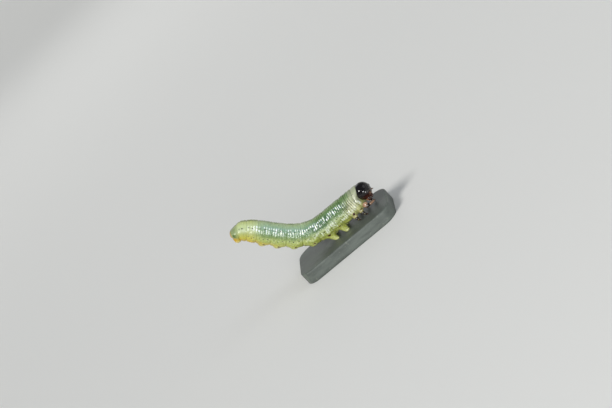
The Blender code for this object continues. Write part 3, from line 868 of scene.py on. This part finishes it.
def head_seat(direction, side):
    """Root and normal, in the world, of what grows from the capsule on one side."""
    aim = Vector((direction[0], direction[1] * side, direction[2]))
    point = capsule_point(aim)
    slope = Vector(
        (point.x / HEAD_DEPTH ** 2, point.y / HEAD_WIDTH ** 2, point.z / HEAD_HEIGHT ** 2)
    ).normalized()
    return HEAD @ point, (HEAD.to_3x3() @ slope).normalized()


Leg = namedtuple("Leg", "root hip knee ankle tip ahead normal out")


def leg_joints(number, side_name, side):
    """The joints of one leg, worked out as in the solids."""
    u = LEG_ROOTS[number]
    pose = LEG_POSES[(number, side_name)]
    point, ahead, left, _ = frame_at(u)
    level = Vector((ahead.x, ahead.y, 0.0)).normalized()
    root, normal = limb_seat(u, side * LEG_ANGLE)
    out = left * side
    tip = Vector((point.x, point.y, SOLE_LEVEL + pose.lift * MM))
    tip += level * (pose.ahead * MM) + out * (pose.out * MM)
    hip = root + normal * COXA_LENGTH
    knee = hip.lerp(tip, KNEE_SHARE) + out * KNEE_OUT
    ankle = tip - (tip - knee).normalized() * CLAW_LENGTH
    return Leg(root, hip, knee, ankle, tip, ahead, normal, out)


def length_setting(name, description, default):
    return bpy.props.FloatProperty(
        name=name, description=description, default=default, min=0.0, unit="LENGTH"
    )


def colour_setting(name, description, default):
    return bpy.props.FloatVectorProperty(
        name=name, description=description, default=default, subtype="COLOR", min=0.0, max=1.0
    )


class LarvaProperties(bpy.types.PropertyGroup):
    """Sizes and colours of the larva that a user may change before adding its pieces."""

    ring_depth: length_setting(
        "Ring depth", "Depth of the creases between the fine rings of the back", 0.045 * MM
    )
    fold_depth: length_setting("Fold depth", "Depth of the folds between the segments", 0.10 * MM)
    hair_length: length_setting("Hair length", "Length of the longest hairs of the body", 0.16 * MM)
    back_line: colour_setting("Back line", "Dark line along the middle of the back", tone(84, 114, 52))
    back: colour_setting("Back", "Yellow-green on each side of the back line", tone(176, 194, 146))
    gut: colour_setting("Gut band", "Blue-green band where the gut shows through", tone(132, 164, 144))
    lobe: colour_setting(
        "Side lobes", "Yellow-green of the fleshy lobes above the prolegs", tone(158, 166, 76)
    )
    # The flecks are partly white fat under the skin and partly painted highlights on the ring crests
    fleck: colour_setting("Flecks", "White of the flecks on the rings", tone(240, 248, 242))
    tail: colour_setting("Tail", "Orange-yellow of the end of the body", tone(186, 150, 36))
    proleg: colour_setting("Prolegs", "Pale tips of the prolegs", tone(206, 208, 158))
    spot: colour_setting("Spots", "Black-brown of the raised spots", tone(30, 16, 12))
    head: colour_setting("Head", "Black of the head capsule", tone(12, 8, 10))
    face: colour_setting("Face", "Red-brown glow low on the face", tone(70, 26, 12))
    leg: colour_setting("Legs", "Dark brown of the jointed legs", tone(24, 15, 13))
    joint: colour_setting("Leg joints", "Paler brown between the joints of the legs", tone(170, 164, 112))
    slate: colour_setting("Slate", "Grey-green of the display base", (0.075, 0.088, 0.078))
    floor: colour_setting("Floor", "Pale floor and backdrop", (0.86, 0.86, 0.84))


def skin_row(row):
    """The u of a row of the skin's grid, and its radius where it isn't the body's own."""
    if row <= COLLAR_ROWS:
        place = row / COLLAR_ROWS * (len(COLLAR) - 1)
        u = smooth_read([point[0] for point in COLLAR], place)
        return u, smooth_read([point[1] for point in COLLAR], place) * MM
    body_rows = SKIN_ROWS - COLLAR_ROWS - TAIL_ROWS
    if row <= COLLAR_ROWS + body_rows:
        share = (row - COLLAR_ROWS) / body_rows
        return length_to_u(share), None
    turn = (row - COLLAR_ROWS - body_rows) / TAIL_ROWS * math.pi / 2
    return TAIL_START + (len(SEGMENTS) - TAIL_START) * math.sin(turn), None


@functools.lru_cache(maxsize=None)
def length_marks():
    """Distance along the middle line at each of the spine's points."""
    marks = [0.0]
    for before, after in zip(SPINE, SPINE[1:]):
        marks.append(marks[-1] + (after - before).length)
    return marks


def distance_at(u):
    marks = length_marks()
    place = u * STEPS
    i = min(int(place), len(marks) - 2)
    return marks[i] + (marks[i + 1] - marks[i]) * (place - i)


def length_to_u(share):
    """The u at an even share of the way from the collar to the start of the tail."""
    first = distance_at(COLLAR_END)
    target = first + (distance_at(TAIL_START) - first) * share
    marks = length_marks()
    i = max(k for k in range(len(marks) - 1) if marks[k] <= target)
    return (i + (target - marks[i]) / (marks[i + 1] - marks[i])) / STEPS


class LARVA_OT_add_skin(bpy.types.Operator):
    """Adds the skin of the thorax, the abdomen and the prolegs as one surface"""

    bl_idname = "larva.add_skin"
    bl_label = "Add skin"

    def execute(self, context):
        look = context.scene.larva
        bm = bmesh.new()
        bmesh.ops.create_grid(bm, x_segments=SKIN_ROWS, y_segments=SKIN_COLUMNS, size=1.0)
        names = ("along", "around", "ridge", "limb")
        layers = {name: bm.verts.layers.float.new(name) for name in names}
        rows = [skin_row(row) for row in range(SKIN_ROWS + 1)]
        for vert in bm.verts:
            u, reach = rows[round((vert.co.x + 1) / 2 * SKIN_ROWS)]
            share = vert.co.y
            angle = math.pi * share + BELLY_CROWDING * math.sin(math.pi * share)
            vert.co, rise = skin_place(u, angle, look, reach)
            vert[layers["along"]] = u
            vert[layers["around"]] = abs(angle) / math.pi
            vert[layers["ridge"]] = 1 - abs(2 * ring_phase(u) - 1) ** 3
            vert[layers["limb"]] = rise
        bmesh.ops.remove_doubles(bm, verts=bm.verts[:], dist=1e-8)
        bmesh.ops.recalc_face_normals(bm, faces=bm.faces[:])
        flesh = ["thorax", "abdomen_front", "abdomen_rear", "tail"]
        flesh += [f"proleg_{number}_{name}" for number in PROLEG_SEGMENTS for name, _ in SIDES]
        piece_of("skin", bm, skin_finish(look), "skin", *flesh)
        return {"FINISHED"}


def spots_of(i):
    if i == 0:
        return COLLAR_SPOTS
    if i < 3:
        return THORAX_SPOTS + (LEG_SPOTS[i],)
    if i == 3:
        return ABDOMEN_SPOTS[:-1]
    if i < 10:
        return ABDOMEN_SPOTS
    return ABDOMEN_SPOTS[2:7] if i == 10 else ABDOMEN_SPOTS[2:4]


def lay_plate(bm, u, angle, spot, grow, look):
    """A low dome that follows the skin, its rim sunk in it. The large ones are the brownest."""
    normal = skin_seat(u, angle, look)[1]
    length = SEGMENTS[min(int(u), LAST)].length * MM
    girth = girth_at(u)
    rise = (SPOT_RISE + SPOT_SWELL * spot.along) * MM
    fresh = turned(bm, LENS, Matrix.Identity(4), 24)
    for vert in fresh:
        x, y, z = vert.co
        along = x * spot.along * grow * MM / length
        around = y * spot.around * grow * MM / girth
        vert.co = skin_place(u - along, angle + around, look)[0] + normal * (z * rise)
    set_glow(bm, fresh, smooth_step((spot.along - 0.05) / 0.12))


class LARVA_OT_add_spots(bpy.types.Operator):
    """Adds the rows of raised black spots on both sides"""

    bl_idname = "larva.add_spots"
    bl_label = "Add spots"

    def execute(self, context):
        look = context.scene.larva
        draw = random.Random(SPOT_SEED)
        bm = horn_mesh()
        for i in range(LAST):
            for spot in spots_of(i):
                for _, side in SIDES:
                    drift = min(4.0 * max(0, i - 4), 14) if spot.angle > 80 else 0.0
                    degrees = spot.angle + drift + draw.uniform(-2.5, 2.5)
                    grow = draw.uniform(0.85, 1.15)
                    u = i + spot.share + draw.uniform(-0.03, 0.03)
                    lay_plate(bm, u, side * math.radians(degrees), spot, grow, look)
        bmesh.ops.recalc_face_normals(bm, faces=bm.faces[:])
        finish = horn_finish("black-brown spots", tone(70, 30, 18), look.spot, 0.22, coat=0.5)
        piece_of("spots", bm, finish, "skin")
        return {"FINISHED"}


def face_glow(vert):
    """The red-brown glow of the capsule, low and in front, on a sphere in the head's own axes."""
    direction = vert.co.normalized()
    return smooth_step((0.05 - direction.z) / 0.8) * smooth_step((direction.x + 0.5) / 0.8)


class LARVA_OT_add_head(bpy.types.Operator):
    """Adds the polished head capsule with its sutures and rims"""

    bl_idname = "larva.add_head"
    bl_label = "Add head"

    def execute(self, context):
        look = context.scene.larva
        bm = horn_mesh()
        bmesh.ops.create_icosphere(bm, subdivisions=7, radius=1.0)
        set_glow(bm, bm.verts, face_glow)
        for vert in bm.verts:
            direction = vert.co.normalized()
            point = capsule_point(direction)
            point += point.normalized() * (capsule_relief(direction) * MM)
            vert.co = HEAD @ point
        finish = horn_finish("black head horn", look.face, look.head, 0.05, 0.04, 0.15)
        piece_of("head_capsule", bm, finish, "head", "head")
        return {"FINISHED"}


class LARVA_OT_add_eyes(bpy.types.Operator):
    """Adds the two simple eyes as polished domes"""

    bl_idname = "larva.add_eyes"
    bl_label = "Add eyes"

    def execute(self, context):
        finish = Finish("black eye", Roughness=0.03, Coat_Weight=0.8, Coat_Roughness=0.02, IOR=1.6)
        depth = finish.step(finish.speckle(0.3 * MM), 0.3, 0.8)
        finish.colour(finish.mix(depth, (0.003, 0.003, 0.004), (0.010, 0.007, 0.006)))
        for name, side in SIDES:
            root, normal = head_seat(EYE_DIRECTION, side)
            bm = bmesh.new()
            profile = [(-0.10 * MM, 0.0), (-0.08 * MM, EYE_RADIUS * 0.9)]
            for k in range(EYE_ROWS + 1):
                turn = k / EYE_ROWS * math.pi / 2
                profile.append((EYE_RISE * math.sin(turn), EYE_RADIUS * math.cos(turn)))
            turned(bm, profile, aimed(root, normal), 36)
            piece_of(f"eye_dome_{name}", bm, finish.material, "eye", f"eye_{name}")
        return {"FINISHED"}


class LARVA_OT_add_antennae(bpy.types.Operator):
    """Adds the two short feelers, each of four joints on a pale ring"""

    bl_idname = "larva.add_antennae"
    bl_label = "Add antennae"

    def execute(self, context):
        look = context.scene.larva
        finish = horn_finish("brown feeler horn", tone(132, 96, 66), look.leg, 0.25)
        for name, side in SIDES:
            root, normal = head_seat(ANTENNA_DIRECTION, side)
            bm = horn_mesh()
            start = root - normal * (0.04 * MM)
            for k, (radius, length) in enumerate(FEELER_JOINTS):
                radii = [radius * share * MM for share in (1.0, 0.98, 0.86)]
                shape = spindle((length + FEELER_OVERLAP) * MM, radii)
                set_glow(bm, turned(bm, shape, aimed(start, normal), 20), 0.9 if k == 0 else 0.35)
                start = start + normal * (length * MM)
            piece_of(f"feeler_{name}", bm, finish, "antenna", f"antenna_{name}")
        return {"FINISHED"}


def mouth_place(point, side):
    """A place of the mouth on one side, in the head's own axes, in metres."""
    return Vector((point[0], point[1] * side, point[2])) * MM


def mouth_tube(bm, part, side):
    """A curved tapering mouthpart through the places of its table."""
    places = [mouth_place(point, side) for point in part.points]
    rows = 18
    profile = [(0.0, 0.0)]
    for k in range(rows + 1):
        t = k / rows
        ends = math.sqrt(max(0.0, 1 - abs(2 * t - 1) ** 8))
        profile.append((t, smooth_read(part.radii, t * (len(part.radii) - 1)) * ends))
    profile.append((1.0, 0.0))
    fresh = turned(bm, profile, Matrix.Identity(4), 20)
    count = len(places) - 1
    for vert in fresh:
        x, y, t = vert.co
        centre, near, behind = (
            Vector([smooth_read([place[i] for place in places], share * count) for i in range(3)])
            for share in (t, min(t + 0.05, 1), max(t - 0.05, 0))
        )
        turn = aimed(Vector(), near - behind, Vector((1.0, 0.0, 0.0))).to_3x3()
        vert.co = HEAD @ (centre + turn @ Vector((x * part.flat * MM, y * MM, 0.0)))
    bmesh.ops.recalc_face_normals(bm, faces=list({f for v in fresh for f in v.link_faces}))
    return fresh


def face_plate(bm, plate):
    """A rounded plate of the face, narrower and notched below, in the head's own axes."""
    old = set(bm.verts)
    bmesh.ops.create_cube(bm, size=1.0)
    fresh = [vert for vert in bm.verts if vert not in old]
    edges = list({edge for vert in fresh for edge in vert.link_edges})
    bmesh.ops.subdivide_edges(bm, edges=edges, cuts=9, use_grid_fill=True)
    fresh = [vert for vert in bm.verts if vert not in old]
    for vert in fresh:
        across = vert.co.y * 2
        down = 0.5 - vert.co.z
        round_off = (1 - 0.22 * abs(across) ** 4) * (1 - 0.16 * abs(2 * down - 1) ** 4)
        vert.co.x *= round_off * (1 - 0.35 * across ** 2)
        vert.co.y *= (1 - (1 - plate.taper) * down) * (1 - 0.10 * abs(2 * down - 1) ** 4)
        vert.co.z += down * (plate.notch * hump(across, 0.30) + 0.10 * abs(across) ** 3)
    for _ in range(2):
        bmesh.ops.smooth_vert(
            bm, verts=fresh, factor=0.5, use_axis_x=True, use_axis_y=True, use_axis_z=True
        )
    bmesh.ops.scale(bm, vec=Vector(plate.size) * MM, verts=fresh)
    tilt = Matrix.Rotation(math.radians(plate.tilt), 4, "Y")
    place = Matrix.Translation(Vector(plate.middle) * MM) @ tilt
    bmesh.ops.transform(bm, matrix=HEAD @ place, verts=fresh)


class LARVA_OT_add_mouth(bpy.types.Operator):
    """Adds the plates above the mouth, the jaws, the palps and the lower lip"""

    bl_idname = "larva.add_mouth"
    bl_label = "Add mouthparts"

    def execute(self, context):
        look = context.scene.larva
        bm = horn_mesh()
        for plate in FACE_PLATES:
            face_plate(bm, plate)
        set_glow(bm, bm.verts, 0.7)
        finish = horn_finish("red-brown face horn", tone(84, 40, 24), look.head, 0.14)
        piece_of("clypeus_and_labrum", bm, finish, "head")

        bm = horn_mesh()
        for _, side in SIDES:
            set_glow(bm, mouth_tube(bm, JAW, side), 0.25)
        finish = horn_finish("black jaw horn", tone(96, 44, 24), look.head, 0.12)
        piece_of("jaws", bm, finish, "head")

        bm = horn_mesh()
        set_glow(bm, mouth_tube(bm, LIP, 1), 0.9)
        for _, side in SIDES:
            set_glow(bm, mouth_tube(bm, SIDE_LOBE, side), 0.8)
            for palp in PALPS:
                start = HEAD @ mouth_place(palp.root, side)
                way = HEAD @ mouth_place(palp.tip, side) - start
                for k in range(palp.joints):
                    size = palp.radius * (1 - 0.24 * k) * MM
                    shape = spindle(way.length / palp.joints * 1.25, (size, size * 0.95, size * 0.8))
                    place = aimed(start + way * (k / palp.joints), way)
                    set_glow(bm, turned(bm, shape, place, 14), 0.55)
        finish = horn_finish("brown lip and palps", tone(138, 92, 62), tone(40, 24, 18), 0.25)
        piece_of("lip_and_palps", bm, finish, "head")
        return {"FINISHED"}


def leg_parts(leg, is_raised):
    """Start, end, radii in mm and glow of a leg's coxa, trochanter, femur and tibia."""
    thigh = leg.knee - leg.hip
    shin = leg.ankle - leg.knee
    foot = leg.tip - leg.ankle
    coxa_start = leg.root - leg.normal * (0.16 * MM)
    coxa_end = leg.hip + leg.normal * (0.04 * MM)
    return (
        (coxa_start, coxa_end, (0.38, 0.31, 0.20), 1.0),
        (leg.hip - thigh * 0.10, leg.hip + thigh * 0.30, (0.185, 0.19, 0.17), 0.2),
        (leg.hip + thigh * 0.10, leg.knee + shin * 0.12, (0.17, 0.185, 0.155), 0.0),
        # The raised leg's tibia is painted paler too, as painted light
        (leg.knee - shin * 0.10, leg.ankle + foot * 0.16, (0.15, 0.15, 0.10), 0.5 if is_raised else 0.0),
    )


def share_along(vert, start, way):
    """How far along a way from its start a vertex lies, 0 to 1."""
    return (vert.co - start).dot(way) / way.length_squared


def joint_glow(start, way, pale, vert):
    """Paler at both ends of a part of a leg, where its joints are."""
    return min(1.0, pale + 0.5 * abs(2 * share_along(vert, start, way) - 1) ** 6)


class LARVA_OT_add_legs(bpy.types.Operator):
    """Adds the six jointed legs with their claws"""

    bl_idname = "larva.add_legs"
    bl_label = "Add legs"

    def execute(self, context):
        look = context.scene.larva
        finish = horn_finish("dark leg horn", look.joint, look.leg, 0.16)
        # The raised right front leg gets a paler horn than the other legs: painted light, a lit copy of the
        # same leg colour
        raised_leg_painted_lit = horn_finish("raised leg horn painted lit", tone(178, 140, 112), look.leg, 0.16)
        claw_finish = horn_finish("claw horn", tone(120, 70, 34), tone(34, 18, 12), 0.12)
        for number in LEG_ROOTS:
            for name, side in SIDES:
                leg = leg_joints(number, name, side)
                is_raised = (number, name) == (1, "right")
                bm = horn_mesh()
                for start, end, radii, pale in leg_parts(leg, is_raised):
                    way = end - start
                    shape = spindle(way.length, [radius * MM for radius in radii])
                    fresh = turned(bm, shape, aimed(start, way, leg.ahead), 22)
                    set_glow(bm, fresh, functools.partial(joint_glow, start, way, pale))
                horn = raised_leg_painted_lit if is_raised else finish
                piece_of(f"leg_horn_{number}_{name}", bm, horn, "leg", f"leg_{number}_{name}")
                bm = horn_mesh()
                way = leg.tip - leg.ankle
                start = leg.ankle - way * 0.08
                shape = spindle(way.length * 1.08, [radius * MM for radius in CLAW_RADII])
                fresh = turned(bm, shape, aimed(start, way, leg.ahead), 16)
                for vert in fresh:
                    share = min(max(share_along(vert, start, way), 0.0), 1.0)
                    vert.co += leg.ahead * (CLAW_BEND * math.sin(math.pi * share))
                set_glow(bm, fresh, lambda vert: 0.7 * (1 - share_along(vert, start, way)))
                piece_of(f"claw_{number}_{name}", bm, claw_finish, "leg")
        return {"FINISHED"}


class LARVA_OT_add_hairs(bpy.types.Operator):
    """Adds the short pale hairs of the body, the head and the legs"""

    bl_idname = "larva.add_hairs"
    bl_label = "Add hairs"

    def execute(self, context):
        look = context.scene.larva
        draw = random.Random(HAIR_SEED)
        seats = []
        for i in range(1, len(SEGMENTS)):
            rings = SEGMENTS[i].rings
            for ring in range(rings):
                for degrees in HAIR_COLUMNS:
                    for _, side in SIDES:
                        if draw.random() < HAIR_GAPS:
                            continue
                        u = min(i + (ring + 0.5) / rings + draw.uniform(-0.03, 0.03), 12.9)
                        angle = side * math.radians(degrees + draw.uniform(-6, 6))
                        place, normal = skin_seat(u, angle, look)
                        ahead = frame_at(u)[1]
                        length = look.hair_length * draw.uniform(0.45, 1.0)
                        lean = normal - ahead * draw.uniform(0.1, 0.6)
                        seats.append((place, lean, length, (u / len(SEGMENTS), angle / (2 * math.pi) + 0.5)))
        for _ in range(HEAD_HAIRS):
            aim = Vector([draw.gauss(0, 1) for _ in range(3)]).normalized()
            if aim.x < -0.35 or aim.x < 0.0 < aim.z - 0.3:
                continue
            place, normal = head_seat(aim, 1)
            lean = normal + HEAD.to_3x3() @ Vector((0.3, 0.0, -0.25))
            length = HEAD_HAIR_LENGTH * draw.uniform(0.5, 1.0)
            seats.append((place, lean, length, (0.5 + aim.y / 2, 0.5 + aim.z / 2)))
        for number in LEG_ROOTS:
            for name, side in SIDES:
                leg = leg_joints(number, name, side)
                for k in range(LEG_HAIRS):
                    spot = leg.hip.lerp(leg.ankle, draw.uniform(0.15, 0.95))
                    lean = leg.ahead * draw.uniform(-1, 1) + leg.out * draw.uniform(-0.2, 1)
                    lean = lean.normalized()
                    place = spot + lean * LEG_HAIR_OUT
                    seats.append((place, lean, LEG_HAIR_LENGTH, (number / 4, k / LEG_HAIRS)))
        bm = bmesh.new()
        chart = bm.loops.layers.uv.new("OFBake")
        for place, lean, length, spot in seats:
            lean = lean.normalized()
            middle = place + lean * (length / 2 - HAIR_SUNK)
            made = bmesh.ops.create_cone(
                bm, cap_ends=True, segments=4, radius1=HAIR_ROOT, radius2=HAIR_TIP, depth=length,
                matrix=aimed(middle, lean),
            )
            for face in {face for vert in made["verts"] for face in vert.link_faces}:
                for loop, (right, up) in zip(face.loops, ((0, 0), (1, 0), (1, 1), (0, 1))):
                    loop[chart].uv = (spot[0] + HAIR_PATCH * right, spot[1] + HAIR_PATCH * up)
        piece_of("hairs", bm, hair_finish(), "skin")
        return {"FINISHED"}


class LARVA_OT_add_slab(bpy.types.Operator):
    """Adds the slate of the base, up to the soles of the feet, with a softened edge"""

    bl_idname = "larva.add_slab"
    bl_label = "Add slab"

    def execute(self, context):
        size = Vector((BASE_HIGH[0] - BASE_LOW[0], BASE_HIGH[1] - BASE_LOW[1], SOLE_LEVEL))
        bm = bmesh.new()
        bmesh.ops.create_cube(bm, size=1.0)
        bmesh.ops.scale(bm, vec=size, verts=bm.verts)
        bmesh.ops.translate(bm, vec=(0.0, 0.0, SOLE_LEVEL / 2), verts=bm.verts)
        upright = [edge for edge in bm.edges if edge.calc_length() < SOLE_LEVEL * 1.01]
        bmesh.ops.bevel(
            bm, geom=upright, offset=BASE_CORNER, segments=16, profile=0.5, material=-1, affect="EDGES"
        )
        rim = [edge for edge in bm.edges if min(vert.co.z for vert in edge.verts) > SOLE_LEVEL * 0.9]
        bmesh.ops.bevel(bm, geom=rim, offset=SLAB_EDGE, segments=5, profile=0.5, material=-1, affect="EDGES")
        for axis, cuts in enumerate(SLAB_CUTS):
            across = Vector((0.0, 0.0, 0.0))
            across[axis] = 1.0
            start = 0.0 if axis == 2 else -size[axis] / 2
            for k in range(1, cuts):
                geometry = bm.verts[:] + bm.edges[:] + bm.faces[:]
                level = across * (start + size[axis] * k / cuts)
                bmesh.ops.bisect_plane(bm, geom=geometry, dist=1e-7, plane_co=level, plane_no=across)
        for vert in bm.verts:
            rough = noise.fractal(vert.co / (1.2 * MM), 1.0, 2.2, 4)
            high = vert.co.z / SOLE_LEVEL
            vert.co -= Vector((
                SLAB_RELIEF * rough * vert.co.x / size.x * high,
                SLAB_RELIEF * rough * vert.co.y / size.y * high,
                SLAB_RELIEF * abs(rough) * smooth_step(high * 2 - 1),
            ))
        piece_of("slate_slab", bm, slate_finish(context.scene.larva), "base", "stand_base")
        return {"FINISHED"}


def add_light(light):
    """A light that shines on the larva: a wide sun, or a round lamp near by."""
    data = bpy.data.lights.new(light.name, light.kind)
    data.energy = light.power
    data.color = light.colour
    if light.kind == "SUN":
        data.angle = light.size
    else:
        data.shape = "DISK"
        data.size = light.size
    lamp = bpy.data.objects.new(light.name, data)
    bpy.context.scene.collection.objects.link(lamp)
    way = Vector(light.way).normalized()
    lamp.location = LAMP_TARGET + way * LAMP_DISTANCE
    lamp.rotation_mode = "QUATERNION"
    lamp.rotation_quaternion = way.to_track_quat("Z", "Y")
    lamp.visible_camera = False


def camera_axes():
    """Right, up and back of the photograph's view."""
    a = CAMERA_AZIMUTH
    e = CAMERA_ELEVATION
    back = Vector((math.sin(a) * math.cos(e), -math.cos(a) * math.cos(e), math.sin(e)))
    level = Vector((math.cos(a), math.sin(a), 0.0))
    upright = back.cross(level)
    right = level * math.cos(CAMERA_ROLL) - upright * math.sin(CAMERA_ROLL)
    up = level * math.sin(CAMERA_ROLL) + upright * math.cos(CAMERA_ROLL)
    return right, up, back


class LARVA_OT_add_stage(bpy.types.Operator):
    """Adds the pale floor and backdrop, the lights and the camera"""

    bl_idname = "larva.add_stage"
    bl_label = "Add stage"

    def execute(self, context):
        look = context.scene.larva
        bm = bmesh.new()
        profile = [(0.0, 0.0), (0.0, 0.02), (0.0, 0.10), (0.0, 0.30), (0.0, FLOOR_FLAT)]
        for k in range(1, FLOOR_RINGS + 1):
            share = k / FLOOR_RINGS
            profile.append((FLOOR_RISE * share ** 3, FLOOR_FLAT + FLOOR_RUN * share))
        turned(bm, profile, Matrix.Identity(4), 96)
        if bm.faces[0].normal.z < 0:
            bmesh.ops.reverse_faces(bm, faces=bm.faces[:])
        finish = Finish("pale floor", Roughness=0.8)
        cloud = finish.speckle(0.09, 3.0)
        finish.colour(finish.mix(finish.product(cloud, 0.06), look.floor, (0.62, 0.62, 0.60)))
        object_of("floor", bm, finish.material)

        world = bpy.data.worlds.new("soft sky")
        world.use_nodes = True
        sky = world.node_tree.nodes["Background"]
        sky.inputs["Color"].default_value = SKY_COLOUR
        sky.inputs["Strength"].default_value = SKY_STRENGTH
        context.scene.world = world

        right, up, back = camera_axes()
        pixel = LARVA_LENGTH / LARVA_PIXELS
        target = FOOT_PLACE - right * ((FOOT_PIXEL[0] - PHOTO_WIDTH / 2) * pixel)
        target += up * ((FOOT_PIXEL[1] - PHOTO_HEIGHT / 2) * pixel)
        for light in LIGHTS:
            add_light(light)

        data = bpy.data.cameras.new("camera")
        data.lens = CAMERA_LENS
        data.sensor_width = SENSOR
        data.clip_start = 0.01
        data.clip_end = 5.0
        camera = bpy.data.objects.new("camera", data)
        context.scene.collection.objects.link(camera)
        turn = Matrix((right, up, back)).transposed().to_4x4()
        camera.matrix_world = Matrix.Translation(target + back * CAMERA_DISTANCE) @ turn
        context.scene.camera = camera
        context.scene.view_settings.view_transform = "Standard"
        return {"FINISHED"}


PIECES = (
    LARVA_OT_add_skin, LARVA_OT_add_spots, LARVA_OT_add_head, LARVA_OT_add_eyes, LARVA_OT_add_antennae,
    LARVA_OT_add_mouth, LARVA_OT_add_legs, LARVA_OT_add_hairs, LARVA_OT_add_slab, LARVA_OT_add_stage,
)


class LARVA_PT_panel(bpy.types.Panel):
    """Lists the larva's settings and pieces"""

    bl_label = "Sawfly larva"
    bl_space_type = "VIEW_3D"
    bl_region_type = "UI"
    bl_category = "Larva"

    def draw(self, context):
        column = self.layout.column()
        for name in LarvaProperties.__annotations__:
            column.prop(context.scene.larva, name)
        for piece in PIECES:
            column.operator(piece.bl_idname)


CLASSES = (LarvaProperties, *PIECES, LARVA_PT_panel)


def register():
    for one in CLASSES:
        bpy.utils.register_class(one)
    bpy.types.Scene.larva = bpy.props.PointerProperty(type=LarvaProperties)


def unregister():
    del bpy.types.Scene.larva
    for one in reversed(CLASSES):
        bpy.utils.unregister_class(one)


def main():
    register()
    bpy.ops.larva.add_skin()
    bpy.ops.larva.add_spots()
    bpy.ops.larva.add_head()
    bpy.ops.larva.add_eyes()
    bpy.ops.larva.add_antennae()
    bpy.ops.larva.add_mouth()
    bpy.ops.larva.add_legs()
    bpy.ops.larva.add_hairs()
    bpy.ops.larva.add_slab()
    bpy.ops.larva.add_stage()


if __name__ == "__main__":
    main()
